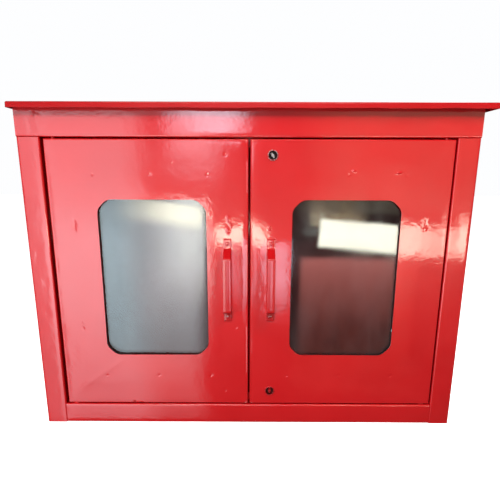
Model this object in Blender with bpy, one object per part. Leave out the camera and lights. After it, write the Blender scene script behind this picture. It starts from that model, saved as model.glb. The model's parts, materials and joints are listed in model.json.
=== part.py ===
"""Double-door fire hose cabinet of folded sheet steel, with glazed doors, strap handles and two key locks.

Metres, +Z up. X runs along the front, the front faces -Y, and the origin is the centre of the carcass's base.
The carcass is five sheets under a roof cover. Each door is a pan that turns on two pivot pins, one in the rail
above it and one in the rail below. The right door carries two quarter-turn locks, whose cams reach behind the
rails, and the left door carries two slide bolts.
"""

import math

import bmesh
import bpy
from mathutils import Matrix, Vector

# Carcass
BODY_WIDTH = 0.8000
BODY_DEPTH = 0.2500
BODY_HEIGHT = 0.6032
SHEET = 0.0016  # carcass sheet thickness
BEND = 0.0022  # bend radius at the middle of the sheet
FIT = 0.0003  # gap between pieces that touch
OPENING_HALF_WIDTH = 0.3606
OPENING_BOTTOM = 0.0405
OPENING_TOP = 0.5495
RETURN_DEPTH = 0.0200  # how far the frame folds back around the opening
WALL_HOLE_RADIUS = 0.0050
WALL_HOLE_X = 0.3750
WALL_HOLE_Z = (0.0900, 0.5100)

# Roof cover
ROOF_SHEET = 0.0012
ROOF_LIP = 0.0100
ROOF_LEFT = -0.4020
ROOF_RIGHT = 0.4140
ROOF_FRONT_OVERHANG = 0.0180

# Doors
DOOR_WIDTH = 0.3547
DOOR_BOTTOM = 0.0430
DOOR_TOP = 0.5470
DOOR_SHEET = 0.0012
DOOR_DEPTH = 0.0180
DOOR_BEND = 0.0020
LEFT_DOOR_X = -0.3547  # outer edge of the left door
RIGHT_DOOR_X = 0.3578  # outer edge of the right door
PIVOT_FROM_EDGE = 0.0140
PIVOT_FROM_FACE = 0.0080

# Windows
WINDOW_WIDTH = 0.1945
WINDOW_BOTTOM = 0.1460
WINDOW_TOP = 0.4430
WINDOW_X = 0.1742  # from the middle of the meeting gap to the middle of a window
WINDOW_CHAMFER = 0.0175
WINDOW_FILLET = 0.0200
GLASS_MARGIN = 0.0280  # how far the pane reaches past the window
GLASS_THICKNESS = 0.0040
GASKET_WIDTH = 0.0120
GASKET_THICKNESS = 0.0030
RETAINER_SHEET = 0.0015
RETAINER_LIP = 0.0110  # how far the retaining frame laps over the pane
STUD_MARGIN = 0.0430  # from the window's edge to the studs above and below it
STUD_SPACING = 0.1010
STUD_RADIUS = 0.0025
STUD_LENGTH = 0.0090
NUT_RADIUS = 0.0046
NUT_HEIGHT = 0.0040
TAB_MARGIN = 0.0430  # from the window's edge to the weld of a tab beside it
TAB_SPACING = 0.1960
TAB_WIDTH = 0.0160

# Handles
HANDLE_X = 0.0395  # from the middle of the meeting gap
HANDLE_Z = 0.2948
HANDLE_LENGTH = 0.1570
HANDLE_FOOT = 0.0172
HANDLE_GRIP = 0.1035
HANDLE_STANDOFF = 0.0280
HANDLE_WIDTH = 0.0142
HANDLE_SHEET = 0.0030
RIVET_RADIUS = 0.0021
RIVET_HOLE = RIVET_RADIUS + FIT

# Locks and bolts
LOCK_X = 0.0405  # from the middle of the meeting gap
LOCK_Z = {"upper": 0.5200, "lower": 0.0710}
LOCK_TURN = {"upper": math.radians(35.0), "lower": 0.0}  # how far the key post leans from upright
LOCK_RADIUS = 0.0080
LOCK_RIM_RADIUS = 0.0095
LOCK_RECESS_RADIUS = 0.0076
LOCK_LENGTH = 0.0210
PLUG_RADIUS = 0.0050
CAM_LENGTH = 0.0420
CAM_WIDTH = 0.0140
CAM_THICKNESS = 0.0030
SCREW_HOLE = 0.0018
BOLT_RADIUS = 0.0040
BOLT_LENGTH = 0.0800
BOLT_X = -0.0425  # from the middle of the meeting gap
BOLT_TRAVEL = 0.0120
GUIDE_PLATE = 0.0016
GUIDE_HALF_WIDTH = 0.0110
SADDLE_HEIGHT = 0.0100
SADDLE_GAP = 0.0260
KNOB_RADIUS = 0.0025

FRONT = -BODY_DEPTH / 2
BACK = BODY_DEPTH / 2
MEETING_X = 0.0017  # middle of the gap between the doors
PIVOT_Y = FRONT + PIVOT_FROM_FACE
LEFT_PIVOT_X = LEFT_DOOR_X + PIVOT_FROM_EDGE
RIGHT_PIVOT_X = RIGHT_DOOR_X - PIVOT_FROM_EDGE
INNER_FACE = FRONT + DOOR_SHEET + FIT  # where pieces rest on the back of a door's face
PANE_FRONT = INNER_FACE + GASKET_THICKNESS + FIT
PANE_BACK = PANE_FRONT + GLASS_THICKNESS
PIN_RADIUS = 0.0030
PIN_HOLE = PIN_RADIUS + FIT
PIN_HEAD_RADIUS = 0.0050
PIN_HEAD = 0.0030
PIVOT_BLOCK_HEIGHT = 0.0100
PIVOT_BLOCK_HALF = 0.0060
BOLT_Y = FRONT + 0.0100
LOCK_FRONT = FRONT - FIT - 0.0016  # face of the lock's rim
LOCK_FLOOR = FRONT + 0.0046  # bottom of the key recess
LOCK_BACK = FRONT + LOCK_LENGTH
CAM_FRONT = LOCK_BACK + 0.0006
AXES = {"X": (0, 1, 2), "Y": (1, 0, 2), "Z": (2, 0, 1)}  # the axis, then the two axes across it
ROUND = 24  # sides of a round piece that shows
SMALL_ROUND = 12


# ---------------------------------------------------------------- outlines


def turned_corner(before, corner, after, radius, steps):
    """Points and tangents along the arc of that radius that rounds a corner of a path."""
    into = (corner - before).normalized()
    out = (after - corner).normalized()
    turn = math.atan2(into.x * out.y - into.y * out.x, into.dot(out))
    reach = radius * math.tan(abs(turn) / 2)
    side = Vector((-into.y, into.x)) * math.copysign(1, turn)
    centre = corner - into * reach + side * radius
    found = []
    for step in range(steps + 1):
        spin = Matrix.Rotation(turn * step / steps, 2)
        found.append((centre - spin @ (side * radius), spin @ into))
    return found


def strip_outline(path, thickness, radius, steps=2):
    """Closed outline of a strip of that thickness whose middle follows the path, with rounded bends."""
    path = [Vector(point) for point in path]
    stations = [(path[0], (path[1] - path[0]).normalized())]
    for index in range(1, len(path) - 1):
        stations += turned_corner(path[index - 1], path[index], path[index + 1], radius, steps)
    stations.append((path[-1], (path[-1] - path[-2]).normalized()))
    left = [point + Vector((-along.y, along.x)) * thickness / 2 for point, along in stations]
    right = [point - Vector((-along.y, along.x)) * thickness / 2 for point, along in stations]
    return left + right[::-1]


def rounded_outline(corners, radius, steps=3):
    """Closed outline of a polygon with every corner rounded."""
    corners = [Vector(corner) for corner in corners]
    points = []
    for index, corner in enumerate(corners):
        after = corners[(index + 1) % len(corners)]
        points += [point for point, _ in turned_corner(corners[index - 1], corner, after, radius, steps)]
    return points


def rectangle(left, right, bottom, top):
    return [(left, bottom), (right, bottom), (right, top), (left, top)]


def window_outline(middle_x, margin=0.0):
    """The window's cut-out, whose corners are cut off straight and then rounded, grown by a margin."""
    left, right = middle_x - WINDOW_WIDTH / 2 - margin, middle_x + WINDOW_WIDTH / 2 + margin
    bottom, top = WINDOW_BOTTOM - margin, WINDOW_TOP + margin
    cut = WINDOW_CHAMFER
    corners = [
        (left + cut, bottom), (right - cut, bottom), (right, bottom + cut), (right, top - cut),
        (right - cut, top), (left + cut, top), (left, top - cut), (left, bottom + cut),
    ]
    return rounded_outline(corners, WINDOW_FILLET, 3)


def circle(centre, radius, sides, start=0.0):
    angles = [start + 2 * math.pi * side / sides for side in range(sides)]
    return [(centre[0] + radius * math.cos(a), centre[1] + radius * math.sin(a)) for a in angles]


# ---------------------------------------------------------------- solids


def add_prism(mesh, outline, axis, low, high):
    """Adds the outline, drawn across the axis, as a solid from low to high along it."""
    along, across, up = AXES[axis]
    points = []
    for u, v in outline:
        point = [0.0, 0.0, 0.0]
        point[along], point[across], point[up] = low, u, v
        points.append(mesh.verts.new(point))
    face = mesh.faces.new(points)
    grown = bmesh.ops.extrude_face_region(mesh, geom=[face])["geom"]
    shift = Vector((0, 0, 0))
    shift[along] = high - low
    moved = [item for item in grown if isinstance(item, bmesh.types.BMVert)]
    bmesh.ops.translate(mesh, verts=moved, vec=shift)


def add_box(mesh, low, high):
    add_prism(mesh, rectangle(low[0], high[0], low[1], high[1]), "Z", low[2], high[2])


def add_turned(mesh, profile, axis, centre, sides=ROUND):
    """Adds a turned piece: a closed profile of (radius, distance along the axis), spun about the axis."""
    along, across, up = AXES[axis]
    rings = []
    for radius, distance in profile:
        ring = []
        for u, v in circle((centre[across], centre[up]), radius, sides) if radius else [(centre[across], centre[up])]:
            point = [0.0, 0.0, 0.0]
            point[along], point[across], point[up] = centre[along] + distance, u, v
            ring.append(mesh.verts.new(point))
        rings.append(ring)
    for index, ring in enumerate(rings):
        before = rings[index - 1]
        if len(before) == 1 and len(ring) == 1:
            continue
        for side in range(sides):
            after = (side + 1) % sides
            if len(before) == 1:
                mesh.faces.new((before[0], ring[side], ring[after]))
            elif len(ring) == 1:
                mesh.faces.new((before[side], before[after], ring[0]))
            else:
                mesh.faces.new((before[side], before[after], ring[after], ring[side]))


def add_cylinder(mesh, axis, centre, radius, low, high, sides=ROUND):
    """Adds a round bar; low and high are measured along the axis from the centre."""
    along, across, up = AXES[axis]
    outline = circle((centre[across], centre[up]), radius, sides)
    add_prism(mesh, outline, axis, centre[along] + low, centre[along] + high)


def material(name, colour, roughness, metallic=0.0, alpha=1.0):
    made = bpy.data.materials.new(name)
    made.use_nodes = True
    shader = made.node_tree.nodes["Principled BSDF"]
    shader.inputs["Base Color"].default_value = (*colour, 1.0)
    shader.inputs["Roughness"].default_value = roughness
    shader.inputs["Metallic"].default_value = metallic
    shader.inputs["Alpha"].default_value = alpha
    return made


def build(name, mesh, finish=None, hinge=None, smooth=True):
    """Makes an object whose origin is the middle of its mesh, hung on its hinge's empty if it has one."""
    bmesh.ops.recalc_face_normals(mesh, faces=mesh.faces)
    lows = Vector([min(vert.co[i] for vert in mesh.verts) for i in range(3)])
    highs = Vector([max(vert.co[i] for vert in mesh.verts) for i in range(3)])
    middle = (lows + highs) / 2
    bmesh.ops.translate(mesh, verts=mesh.verts, vec=-middle)
    data = bpy.data.meshes.new(name)
    mesh.to_mesh(data)
    mesh.free()
    if smooth:
        data.shade_smooth()
        data.set_sharp_from_angle(angle=math.radians(35))
    obj = bpy.data.objects.new(name, data)
    bpy.context.scene.collection.objects.link(obj)
    obj.location = middle
    if finish:
        data.materials.append(finish)
    if hinge:
        obj.parent = hinge
        obj.location = middle - world_place(hinge)
    return obj


def world_place(empty):
    """Where an empty is: none of them is turned, so their locations add up."""
    place = empty.location.copy()
    while empty.parent:
        empty = empty.parent
        place += empty.location
    return place


def joint(name, place, parent=None):
    """An empty on a joint's axis, which carries the pieces that move with it."""
    empty = bpy.data.objects.new(name, None)
    bpy.context.scene.collection.objects.link(empty)
    empty.empty_display_size = 0.03
    empty.location = Vector(place) - (world_place(parent) if parent else Vector((0, 0, 0)))
    empty.parent = parent
    return empty


def cut(obj, name, mesh):
    """Cuts a shape out of an object, with a cutter that travels with it."""
    tool = build(f"{obj.name}_{name}_cutter", mesh, hinge=obj.parent, smooth=False)
    tool.hide_render = True
    tool.display_type = "WIRE"
    modifier = obj.modifiers.new(name, "BOOLEAN")
    modifier.operation = "DIFFERENCE"
    modifier.solver = "EXACT"
    modifier.object = tool


def join(obj, name, mesh):
    """Joins a shape onto an object as one solid."""
    tool = build(f"{obj.name}_{name}_helper", mesh, hinge=obj.parent, smooth=False)
    tool.hide_render = True
    tool.display_type = "WIRE"
    modifier = obj.modifiers.new(name, "BOOLEAN")
    modifier.operation = "UNION"
    modifier.solver = "EXACT"
    modifier.object = tool


# ---------------------------------------------------------------- carcass


def side_panel(name, side, finish):
    """A side wall that folds round the front corner into a stile, and back again at the opening."""
    wall = BODY_WIDTH / 2 - SHEET / 2
    stile = OPENING_HALF_WIDTH + SHEET / 2
    path = [
        (side * wall, BACK - SHEET - 2 * FIT),
        (side * wall, FRONT + SHEET / 2),
        (side * stile, FRONT + SHEET / 2),
        (side * stile, FRONT + RETURN_DEPTH),
    ]
    mesh = bmesh.new()
    add_prism(mesh, strip_outline(path, SHEET, BEND), "Z", 0.0, BODY_HEIGHT)
    panel = build(name, mesh, finish)
    # The top rail crosses in front of the wall, so the stile ends under it.
    clear = FRONT + SHEET + BEND
    across = sorted((side * (BODY_WIDTH / 2 + SHEET), side * (OPENING_HALF_WIDTH - SHEET)))
    inside = sorted((side * (BODY_WIDTH / 2 - SHEET - FIT / 2), side * (OPENING_HALF_WIDTH - SHEET)))
    mesh = bmesh.new()
    add_box(mesh, (across[0], FRONT - SHEET, OPENING_TOP - FIT), (across[1], clear, BODY_HEIGHT + SHEET))
    cut(panel, "corner", mesh)
    mesh = bmesh.new()
    add_box(
        mesh,
        (inside[0], FRONT - SHEET, OPENING_TOP - FIT),
        (inside[1], FRONT + RETURN_DEPTH + SHEET, BODY_HEIGHT + SHEET),
    )
    cut(panel, "rail", mesh)
    # The bottom panel runs under the return fold.
    mesh = bmesh.new()
    add_box(mesh, (inside[0], FRONT + SHEET + FIT, -SHEET), (inside[1], FRONT + RETURN_DEPTH + SHEET, SHEET + FIT))
    cut(panel, "floor", mesh)


def top_panel(finish):
    """The top sheet, folded down into the top rail and back over the doors."""
    path = [
        (BACK - SHEET - 2 * FIT, BODY_HEIGHT - SHEET / 2),
        (FRONT + SHEET / 2, BODY_HEIGHT - SHEET / 2),
        (FRONT + SHEET / 2, OPENING_TOP + SHEET / 2),
        (FRONT + RETURN_DEPTH, OPENING_TOP + SHEET / 2),
    ]
    half = BODY_WIDTH / 2
    mesh = bmesh.new()
    add_prism(mesh, strip_outline(path, SHEET, BEND), "X", -half, half)
    panel = build("top_panel", mesh, finish)
    mesh = bmesh.new()
    for side in (-1, 1):
        ends = sorted((side * (half - SHEET - FIT), side * (half + SHEET)))
        add_box(
            mesh,
            (ends[0], FRONT + SHEET + BEND - FIT, OPENING_TOP - SHEET),
            (ends[1], BACK + SHEET, BODY_HEIGHT + SHEET),
        )
    cut(panel, "ends", mesh)
    mesh = bmesh.new()
    for pivot_x in (LEFT_PIVOT_X, RIGHT_PIVOT_X):
        add_cylinder(mesh, "Z", (pivot_x, PIVOT_Y, OPENING_TOP), PIN_HOLE, -SHEET, 2 * SHEET, SMALL_ROUND)
    bolt = (MEETING_X + BOLT_X, BOLT_Y, OPENING_TOP)
    add_cylinder(mesh, "Z", bolt, BOLT_RADIUS + 2 * FIT, -SHEET, 2 * SHEET, SMALL_ROUND)
    cut(panel, "holes", mesh)
    add_door_stop(panel, OPENING_TOP - 0.0150, OPENING_TOP + SHEET / 2)


def bottom_panel(finish):
    """The floor sheet, folded up into the bottom rail and back under the doors."""
    path = [
        (BACK - SHEET - 2 * FIT, SHEET / 2),
        (FRONT + SHEET / 2, SHEET / 2),
        (FRONT + SHEET / 2, OPENING_BOTTOM - SHEET / 2),
        (FRONT + RETURN_DEPTH, OPENING_BOTTOM - SHEET / 2),
    ]
    half = BODY_WIDTH / 2 - SHEET - FIT
    mesh = bmesh.new()
    add_prism(mesh, strip_outline(path, SHEET, BEND), "X", -half, half)
    panel = build("bottom_panel", mesh, finish)
    rail_end = OPENING_HALF_WIDTH - FIT
    mesh = bmesh.new()
    for side in (-1, 1):
        ends = sorted((side * rail_end, side * (BODY_WIDTH / 2 + SHEET)))
        # in front of the floor, where the stile stands
        add_box(mesh, (ends[0], FRONT - SHEET, -SHEET), (ends[1], FRONT + SHEET + BEND, OPENING_BOTTOM + SHEET))
    cut(panel, "stiles", mesh)
    mesh = bmesh.new()
    for side in (-1, 1):
        ends = sorted((side * rail_end, side * (BODY_WIDTH / 2 + SHEET)))
        # above the floor, where the stile folds back
        add_box(
            mesh,
            (ends[0], FRONT - SHEET, 2 * SHEET),
            (ends[1], FRONT + RETURN_DEPTH + SHEET, OPENING_BOTTOM + SHEET),
        )
    cut(panel, "returns", mesh)
    mesh = bmesh.new()
    for pivot_x in (LEFT_PIVOT_X, RIGHT_PIVOT_X):
        add_cylinder(mesh, "Z", (pivot_x, PIVOT_Y, OPENING_BOTTOM), PIN_HOLE, -2 * SHEET, SHEET, SMALL_ROUND)
    bolt = (MEETING_X + BOLT_X, BOLT_Y, OPENING_BOTTOM)
    add_cylinder(mesh, "Z", bolt, BOLT_RADIUS + 2 * FIT, -2 * SHEET, SHEET, SMALL_ROUND)
    cut(panel, "holes", mesh)
    add_door_stop(panel, OPENING_BOTTOM - SHEET / 2, OPENING_BOTTOM + 0.0150)


def back_panel(finish):
    mesh = bmesh.new()
    add_box(mesh, (-BODY_WIDTH / 2, BACK - SHEET, 0.0), (BODY_WIDTH / 2, BACK, BODY_HEIGHT))
    panel = build("back_panel", mesh, finish)
    mesh = bmesh.new()
    for x in (-WALL_HOLE_X, WALL_HOLE_X):
        for z in WALL_HOLE_Z:
            add_cylinder(mesh, "Y", (x, BACK, z), WALL_HOLE_RADIUS, -2 * SHEET, SHEET, SMALL_ROUND)
    cut(panel, "wall_holes", mesh)


def roof_cover(finish):
    """A flat sheet with its front and side edges folded down, made as an open pan."""
    bottom = BODY_HEIGHT + FIT + ROOF_SHEET - ROOF_LIP
    top = BODY_HEIGHT + FIT + ROOF_SHEET
    mesh = bmesh.new()
    front = FRONT - ROOF_FRONT_OVERHANG
    add_box(mesh, (ROOF_LEFT, front, bottom), (ROOF_RIGHT, BACK, top))
    mesh.normal_update()
    opened = [f for f in mesh.faces if f.normal.z < -0.5 or f.normal.y > 0.5]
    bmesh.ops.delete(mesh, geom=opened, context="FACES")
    bent = [
        e for e in mesh.edges
        if len(e.link_faces) == 2 and all(abs(v.co.z - top) < 1e-6 for v in e.verts)
    ]
    bmesh.ops.bevel(mesh, geom=bent, offset=DOOR_BEND, segments=2, profile=0.5, affect="EDGES")
    roof = build("roof_cover", mesh, finish)
    thicken(roof, ROOF_SHEET)


def thicken(obj, thickness):
    """Gives an open shell its sheet thickness, on the inner side."""
    modifier = obj.modifiers.new("sheet", "SOLIDIFY")
    modifier.thickness = thickness
    modifier.offset = -1.0
    modifier.use_even_offset = True


def add_door_stop(panel, low, high):
    """A strip in the middle of a rail, welded behind its fold, that both doors close against."""
    front = FRONT + DOOR_DEPTH + FIT
    mesh = bmesh.new()
    add_box(mesh, (MEETING_X - 0.0270, front, low), (MEETING_X + 0.0270, front + SHEET, high))
    join(panel, "door_stop", mesh)


# ---------------------------------------------------------------- pivots


def pivot_pins(side_name, pivot_x, finish):
    """The two headed pins of one door, which stand in the rails' folds, and the washer the door rests on."""
    door_end = DOOR_SHEET + FIT + PIVOT_BLOCK_HEIGHT - FIT
    shafts = {
        "upper": (OPENING_TOP + SHEET + FIT, DOOR_TOP - door_end, 1),
        "lower": (OPENING_BOTTOM - SHEET - FIT, DOOR_BOTTOM + door_end, -1),
    }
    for level, (seat, end, way) in shafts.items():
        profile = [
            (0.0, way * PIN_HEAD), (PIN_HEAD_RADIUS, way * PIN_HEAD), (PIN_HEAD_RADIUS, 0.0),
            (PIN_RADIUS, 0.0), (PIN_RADIUS, end - seat), (0.0, end - seat),
        ]
        mesh = bmesh.new()
        add_turned(mesh, profile, "Z", (pivot_x, PIVOT_Y, seat), 16)
        build(f"{side_name}_{level}_pivot_pin", mesh, finish)
    low, high = OPENING_BOTTOM + FIT, DOOR_BOTTOM - FIT
    ring = [(PIN_HOLE, low), (0.0065, low), (0.0065, high), (PIN_HOLE, high)]
    mesh = bmesh.new()
    add_turned(mesh, ring, "Z", (pivot_x, PIVOT_Y, 0.0), 16)
    build(f"{side_name}_pivot_washer", mesh, finish)


def pivot_blocks(side_name, pivot_x, hinge, finish):
    """Bored blocks behind the corners of a door, which turn on the pins."""
    for level, low in (
        ("upper", DOOR_TOP - DOOR_SHEET - FIT - PIVOT_BLOCK_HEIGHT),
        ("lower", DOOR_BOTTOM + DOOR_SHEET + FIT),
    ):
        high = low + PIVOT_BLOCK_HEIGHT
        half = PIVOT_BLOCK_HALF
        mesh = bmesh.new()
        add_box(mesh, (pivot_x - half, PIVOT_Y - half, low), (pivot_x + half, PIVOT_Y + half, high))
        block = build(f"{side_name}_{level}_pivot_block", mesh, finish, hinge)
        mesh = bmesh.new()
        add_cylinder(mesh, "Z", (pivot_x, PIVOT_Y, low), PIN_HOLE, -FIT, PIVOT_BLOCK_HEIGHT + FIT, 16)
        cut(block, "bore", mesh)


# ---------------------------------------------------------------- doors


def door_panel(name, left, right, pivot_x, window_x, extra_holes, hinge, finish):
    """A sheet folded back on all four sides, with a window and the holes for its fittings."""
    mesh = bmesh.new()
    add_box(mesh, (left, FRONT, DOOR_BOTTOM), (right, FRONT + DOOR_DEPTH, DOOR_TOP))
    mesh.normal_update()
    bmesh.ops.delete(mesh, geom=[f for f in mesh.faces if f.normal.y > 0.5], context="FACES")
    bent = [e for e in mesh.edges if all(abs(v.co.y - FRONT) < 1e-6 for v in e.verts)]
    bmesh.ops.bevel(mesh, geom=bent, offset=DOOR_BEND, segments=2, profile=0.5, affect="EDGES")
    panel = build(name, mesh, finish, hinge)
    thicken(panel, DOOR_SHEET)
    mesh = bmesh.new()
    add_prism(mesh, window_outline(window_x), "Y", FRONT - DOOR_SHEET, FRONT + 2 * DOOR_SHEET)
    cut(panel, "window", mesh)
    welded_fittings(panel, window_x)
    mesh = bmesh.new()
    for x, z, radius in extra_holes:
        add_cylinder(mesh, "Y", (x, FRONT, z), radius, -DOOR_SHEET, 2 * DOOR_SHEET, SMALL_ROUND)
    cut(panel, "holes", mesh)
    mesh = bmesh.new()
    for edge in (DOOR_BOTTOM, DOOR_TOP):
        place = (pivot_x, PIVOT_Y, edge)
        add_cylinder(mesh, "Z", place, PIN_HOLE + FIT, -2 * DOOR_SHEET, 2 * DOOR_SHEET, SMALL_ROUND)
        if side_of(pivot_x) < 0:
            place = (MEETING_X + BOLT_X, BOLT_Y, edge)
            add_cylinder(mesh, "Z", place, BOLT_RADIUS + 2 * FIT, -2 * DOOR_SHEET, 2 * DOOR_SHEET, SMALL_ROUND)
    cut(panel, "pivots", mesh)


def side_of(x):
    return -1 if x < MEETING_X else 1


def glazing(side_name, window_x, hinge, finishes):
    """The pane, the rubber strip it is bedded on, and the frame that holds it from behind."""
    mesh = bmesh.new()
    half = WINDOW_WIDTH / 2 + GLASS_MARGIN
    add_box(
        mesh,
        (window_x - half, PANE_FRONT, WINDOW_BOTTOM - GLASS_MARGIN),
        (window_x + half, PANE_BACK, WINDOW_TOP + GLASS_MARGIN),
    )
    build(f"{side_name}_window_glass", mesh, finishes["glass"], hinge)

    outer = window_outline(window_x, 0.0010 + GASKET_WIDTH)
    mesh = bmesh.new()
    add_prism(mesh, outer, "Y", INNER_FACE, INNER_FACE + GASKET_THICKNESS)
    gasket = build(f"{side_name}_window_gasket", mesh, finishes["rubber"], hinge)
    mesh = bmesh.new()
    inner = window_outline(window_x, 0.0010)
    add_prism(mesh, inner, "Y", INNER_FACE - FIT, INNER_FACE + GASKET_THICKNESS + FIT)
    cut(gasket, "window", mesh)
    retainer(side_name, window_x, hinge, finishes["zinc"])


def stud_places(window_x):
    """(x, z) of the six studs welded behind a door: three above its window and three below."""
    heights = (WINDOW_BOTTOM - STUD_MARGIN, WINDOW_TOP + STUD_MARGIN)
    return [(window_x + step * STUD_SPACING, z) for z in heights for step in (-1, 0, 1)]


def retainer(side_name, window_x, hinge, zinc):
    """The frame that laps over the pane's edge and is held on the studs by six nuts."""
    lip_y = PANE_BACK + FIT + RETAINER_SHEET / 2
    wall = GLASS_MARGIN + FIT + RETAINER_SHEET / 2
    path = [(wall, INNER_FACE), (wall, lip_y), (GLASS_MARGIN - RETAINER_LIP, lip_y)]
    profile = strip_outline(path, RETAINER_SHEET, RETAINER_SHEET * 0.8, 1)
    mesh = bmesh.new()
    loops = []
    for margin, y in profile:
        corners = rectangle(
            window_x - WINDOW_WIDTH / 2 - margin, window_x + WINDOW_WIDTH / 2 + margin,
            WINDOW_BOTTOM - margin, WINDOW_TOP + margin,
        )
        loops.append([mesh.verts.new((x, y, z)) for x, z in corners])
    for index, loop in enumerate(loops):
        before = loops[index - 1]
        for side in range(4):
            after = (side + 1) % 4
            mesh.faces.new((before[side], before[after], loop[after], loop[side]))
    frame = build(f"{side_name}_glass_retainer", mesh, zinc, hinge)
    half = STUD_SPACING + 0.0120
    for name, edge, way in (("lower", WINDOW_BOTTOM, -1), ("upper", WINDOW_TOP, 1)):
        ends = sorted((edge + way * (GLASS_MARGIN + 0.0008), edge + way * (STUD_MARGIN + 0.0080)))
        flange = bmesh.new()
        add_box(
            flange,
            (window_x - half, INNER_FACE, ends[0]),
            (window_x + half, INNER_FACE + RETAINER_SHEET, ends[1]),
        )
        join(frame, f"{name}_flange", flange)
    seat = INNER_FACE + RETAINER_SHEET + FIT
    holes = bmesh.new()
    for index, (x, z) in enumerate(stud_places(window_x)):
        hole = STUD_RADIUS + FIT
        add_cylinder(holes, "Y", (x, INNER_FACE, z), hole, -FIT, RETAINER_SHEET + FIT, SMALL_ROUND)
        nut = bmesh.new()
        add_prism(nut, circle((x, z), NUT_RADIUS, 6), "Y", seat, seat + NUT_HEIGHT)
        nut = build(f"{side_name}_retainer_nut_{index + 1}", nut, zinc, hinge, smooth=False)
        bore = bmesh.new()
        add_cylinder(bore, "Y", (x, seat, z), hole, -FIT, NUT_HEIGHT + FIT, SMALL_ROUND)
        cut(nut, "bore", bore)
    cut(frame, "stud_holes", holes)


def welded_fittings(panel, window_x):
    """Studs for the retaining frame, and tabs beside the window that hook over it, welded to the door."""
    studs = bmesh.new()
    for x, z in stud_places(window_x):
        add_cylinder(studs, "Y", (x, FRONT, z), STUD_RADIUS, DOOR_SHEET / 2, STUD_LENGTH, 8)
    join(panel, "studs", studs)
    wall = GLASS_MARGIN + 2 * FIT + 1.5 * RETAINER_SHEET + FIT
    foot_y = FRONT + DOOR_SHEET + RETAINER_SHEET / 2 - FIT
    hook_y = PANE_BACK + 2 * FIT + 1.5 * RETAINER_SHEET
    path = [(TAB_MARGIN + 0.0060, foot_y), (wall, foot_y), (wall, hook_y), (wall - 0.0060, hook_y)]
    outline = strip_outline(path, RETAINER_SHEET, RETAINER_SHEET * 0.8, 1)
    middle_z = (WINDOW_TOP + WINDOW_BOTTOM) / 2
    tabs = bmesh.new()
    for side in (-1, 1):
        edge = window_x + side * WINDOW_WIDTH / 2
        placed = [(edge + side * margin, y) for margin, y in outline]
        for step in (-0.5, 0.5):
            z = middle_z + step * TAB_SPACING
            add_prism(tabs, placed, "Z", z - TAB_WIDTH / 2, z + TAB_WIDTH / 2)
    join(panel, "tabs", tabs)


def handle(side_name, x, hinge, paint):
    """A flat strap bent out from the door, riveted through its two feet."""
    seat = FRONT - FIT - HANDLE_SHEET / 2
    out = FRONT - HANDLE_STANDOFF + HANDLE_SHEET / 2
    top, bottom = HANDLE_Z + HANDLE_LENGTH / 2, HANDLE_Z - HANDLE_LENGTH / 2
    grip_top, grip_bottom = HANDLE_Z + HANDLE_GRIP / 2, HANDLE_Z - HANDLE_GRIP / 2
    path = [
        (seat, top), (seat, top - HANDLE_FOOT), (out, grip_top),
        (out, grip_bottom), (seat, bottom + HANDLE_FOOT), (seat, bottom),
    ]
    mesh = bmesh.new()
    outline = strip_outline(path, HANDLE_SHEET, 0.0040, 3)
    add_prism(mesh, outline, "X", x - HANDLE_WIDTH / 2, x + HANDLE_WIDTH / 2)
    strap = build(f"{side_name}_handle", mesh, paint, hinge)
    holes = bmesh.new()
    for level, z in zip(("lower", "upper"), handle_rivet_heights()):
        centre = (x, FRONT, z)
        add_cylinder(holes, "Y", centre, RIVET_HOLE, -2 * HANDLE_SHEET, 0.0, SMALL_ROUND)
        outer = -FIT - HANDLE_SHEET - FIT
        inner = DOOR_SHEET + FIT
        profile = [
            (0.0, outer - 0.0012), (0.0020, outer - 0.0010), (0.0036, outer),
            (RIVET_RADIUS, outer), (RIVET_RADIUS, inner), (0.0036, inner), (0.0036, inner + 0.0012),
            (0.0, inner + 0.0012),
        ]
        rivet = bmesh.new()
        add_turned(rivet, profile, "Y", centre, SMALL_ROUND)
        build(f"{side_name}_handle_{level}_rivet", rivet, paint, hinge)
    cut(strap, "rivet_holes", holes)


def handle_rivet_heights():
    reach = (HANDLE_LENGTH - HANDLE_FOOT) / 2
    return (HANDLE_Z - reach, HANDLE_Z + reach)


# ---------------------------------------------------------------- locks


def lock(level, door_hinge, zinc):
    """A quarter-turn lock: its body and nut on the door, and a plug, a cam and a screw that turn together."""
    x, z = MEETING_X + LOCK_X, LOCK_Z[level]
    bore = PLUG_RADIUS + FIT
    profile = [
        (LOCK_RECESS_RADIUS, LOCK_FRONT), (LOCK_RIM_RADIUS - 0.0006, LOCK_FRONT),
        (LOCK_RIM_RADIUS, LOCK_FRONT + 0.0006), (LOCK_RIM_RADIUS, FRONT - FIT),
        (LOCK_RADIUS, FRONT - FIT), (LOCK_RADIUS, LOCK_BACK), (bore, LOCK_BACK),
        (bore, LOCK_FLOOR), (LOCK_RECESS_RADIUS, LOCK_FLOOR),
    ]
    mesh = bmesh.new()
    add_turned(mesh, profile, "Y", (x, 0.0, z))
    build(f"{level}_lock_body", mesh, zinc, door_hinge)

    mesh = bmesh.new()
    nut_height = 0.0040
    add_prism(mesh, circle((x, z), 0.0125, 6), "Y", INNER_FACE, INNER_FACE + nut_height)
    nut = build(f"{level}_lock_nut", mesh, zinc, door_hinge, smooth=False)
    mesh = bmesh.new()
    add_cylinder(mesh, "Y", (x, INNER_FACE, z), LOCK_RADIUS + FIT, -FIT, nut_height + FIT)
    cut(nut, "bore", mesh)

    core = joint(f"{level}_lock_axis", (x, FRONT, z), door_hinge)
    lock_plug(level, x, z, core, zinc)
    cam(level, x, z, core, zinc)


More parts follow.
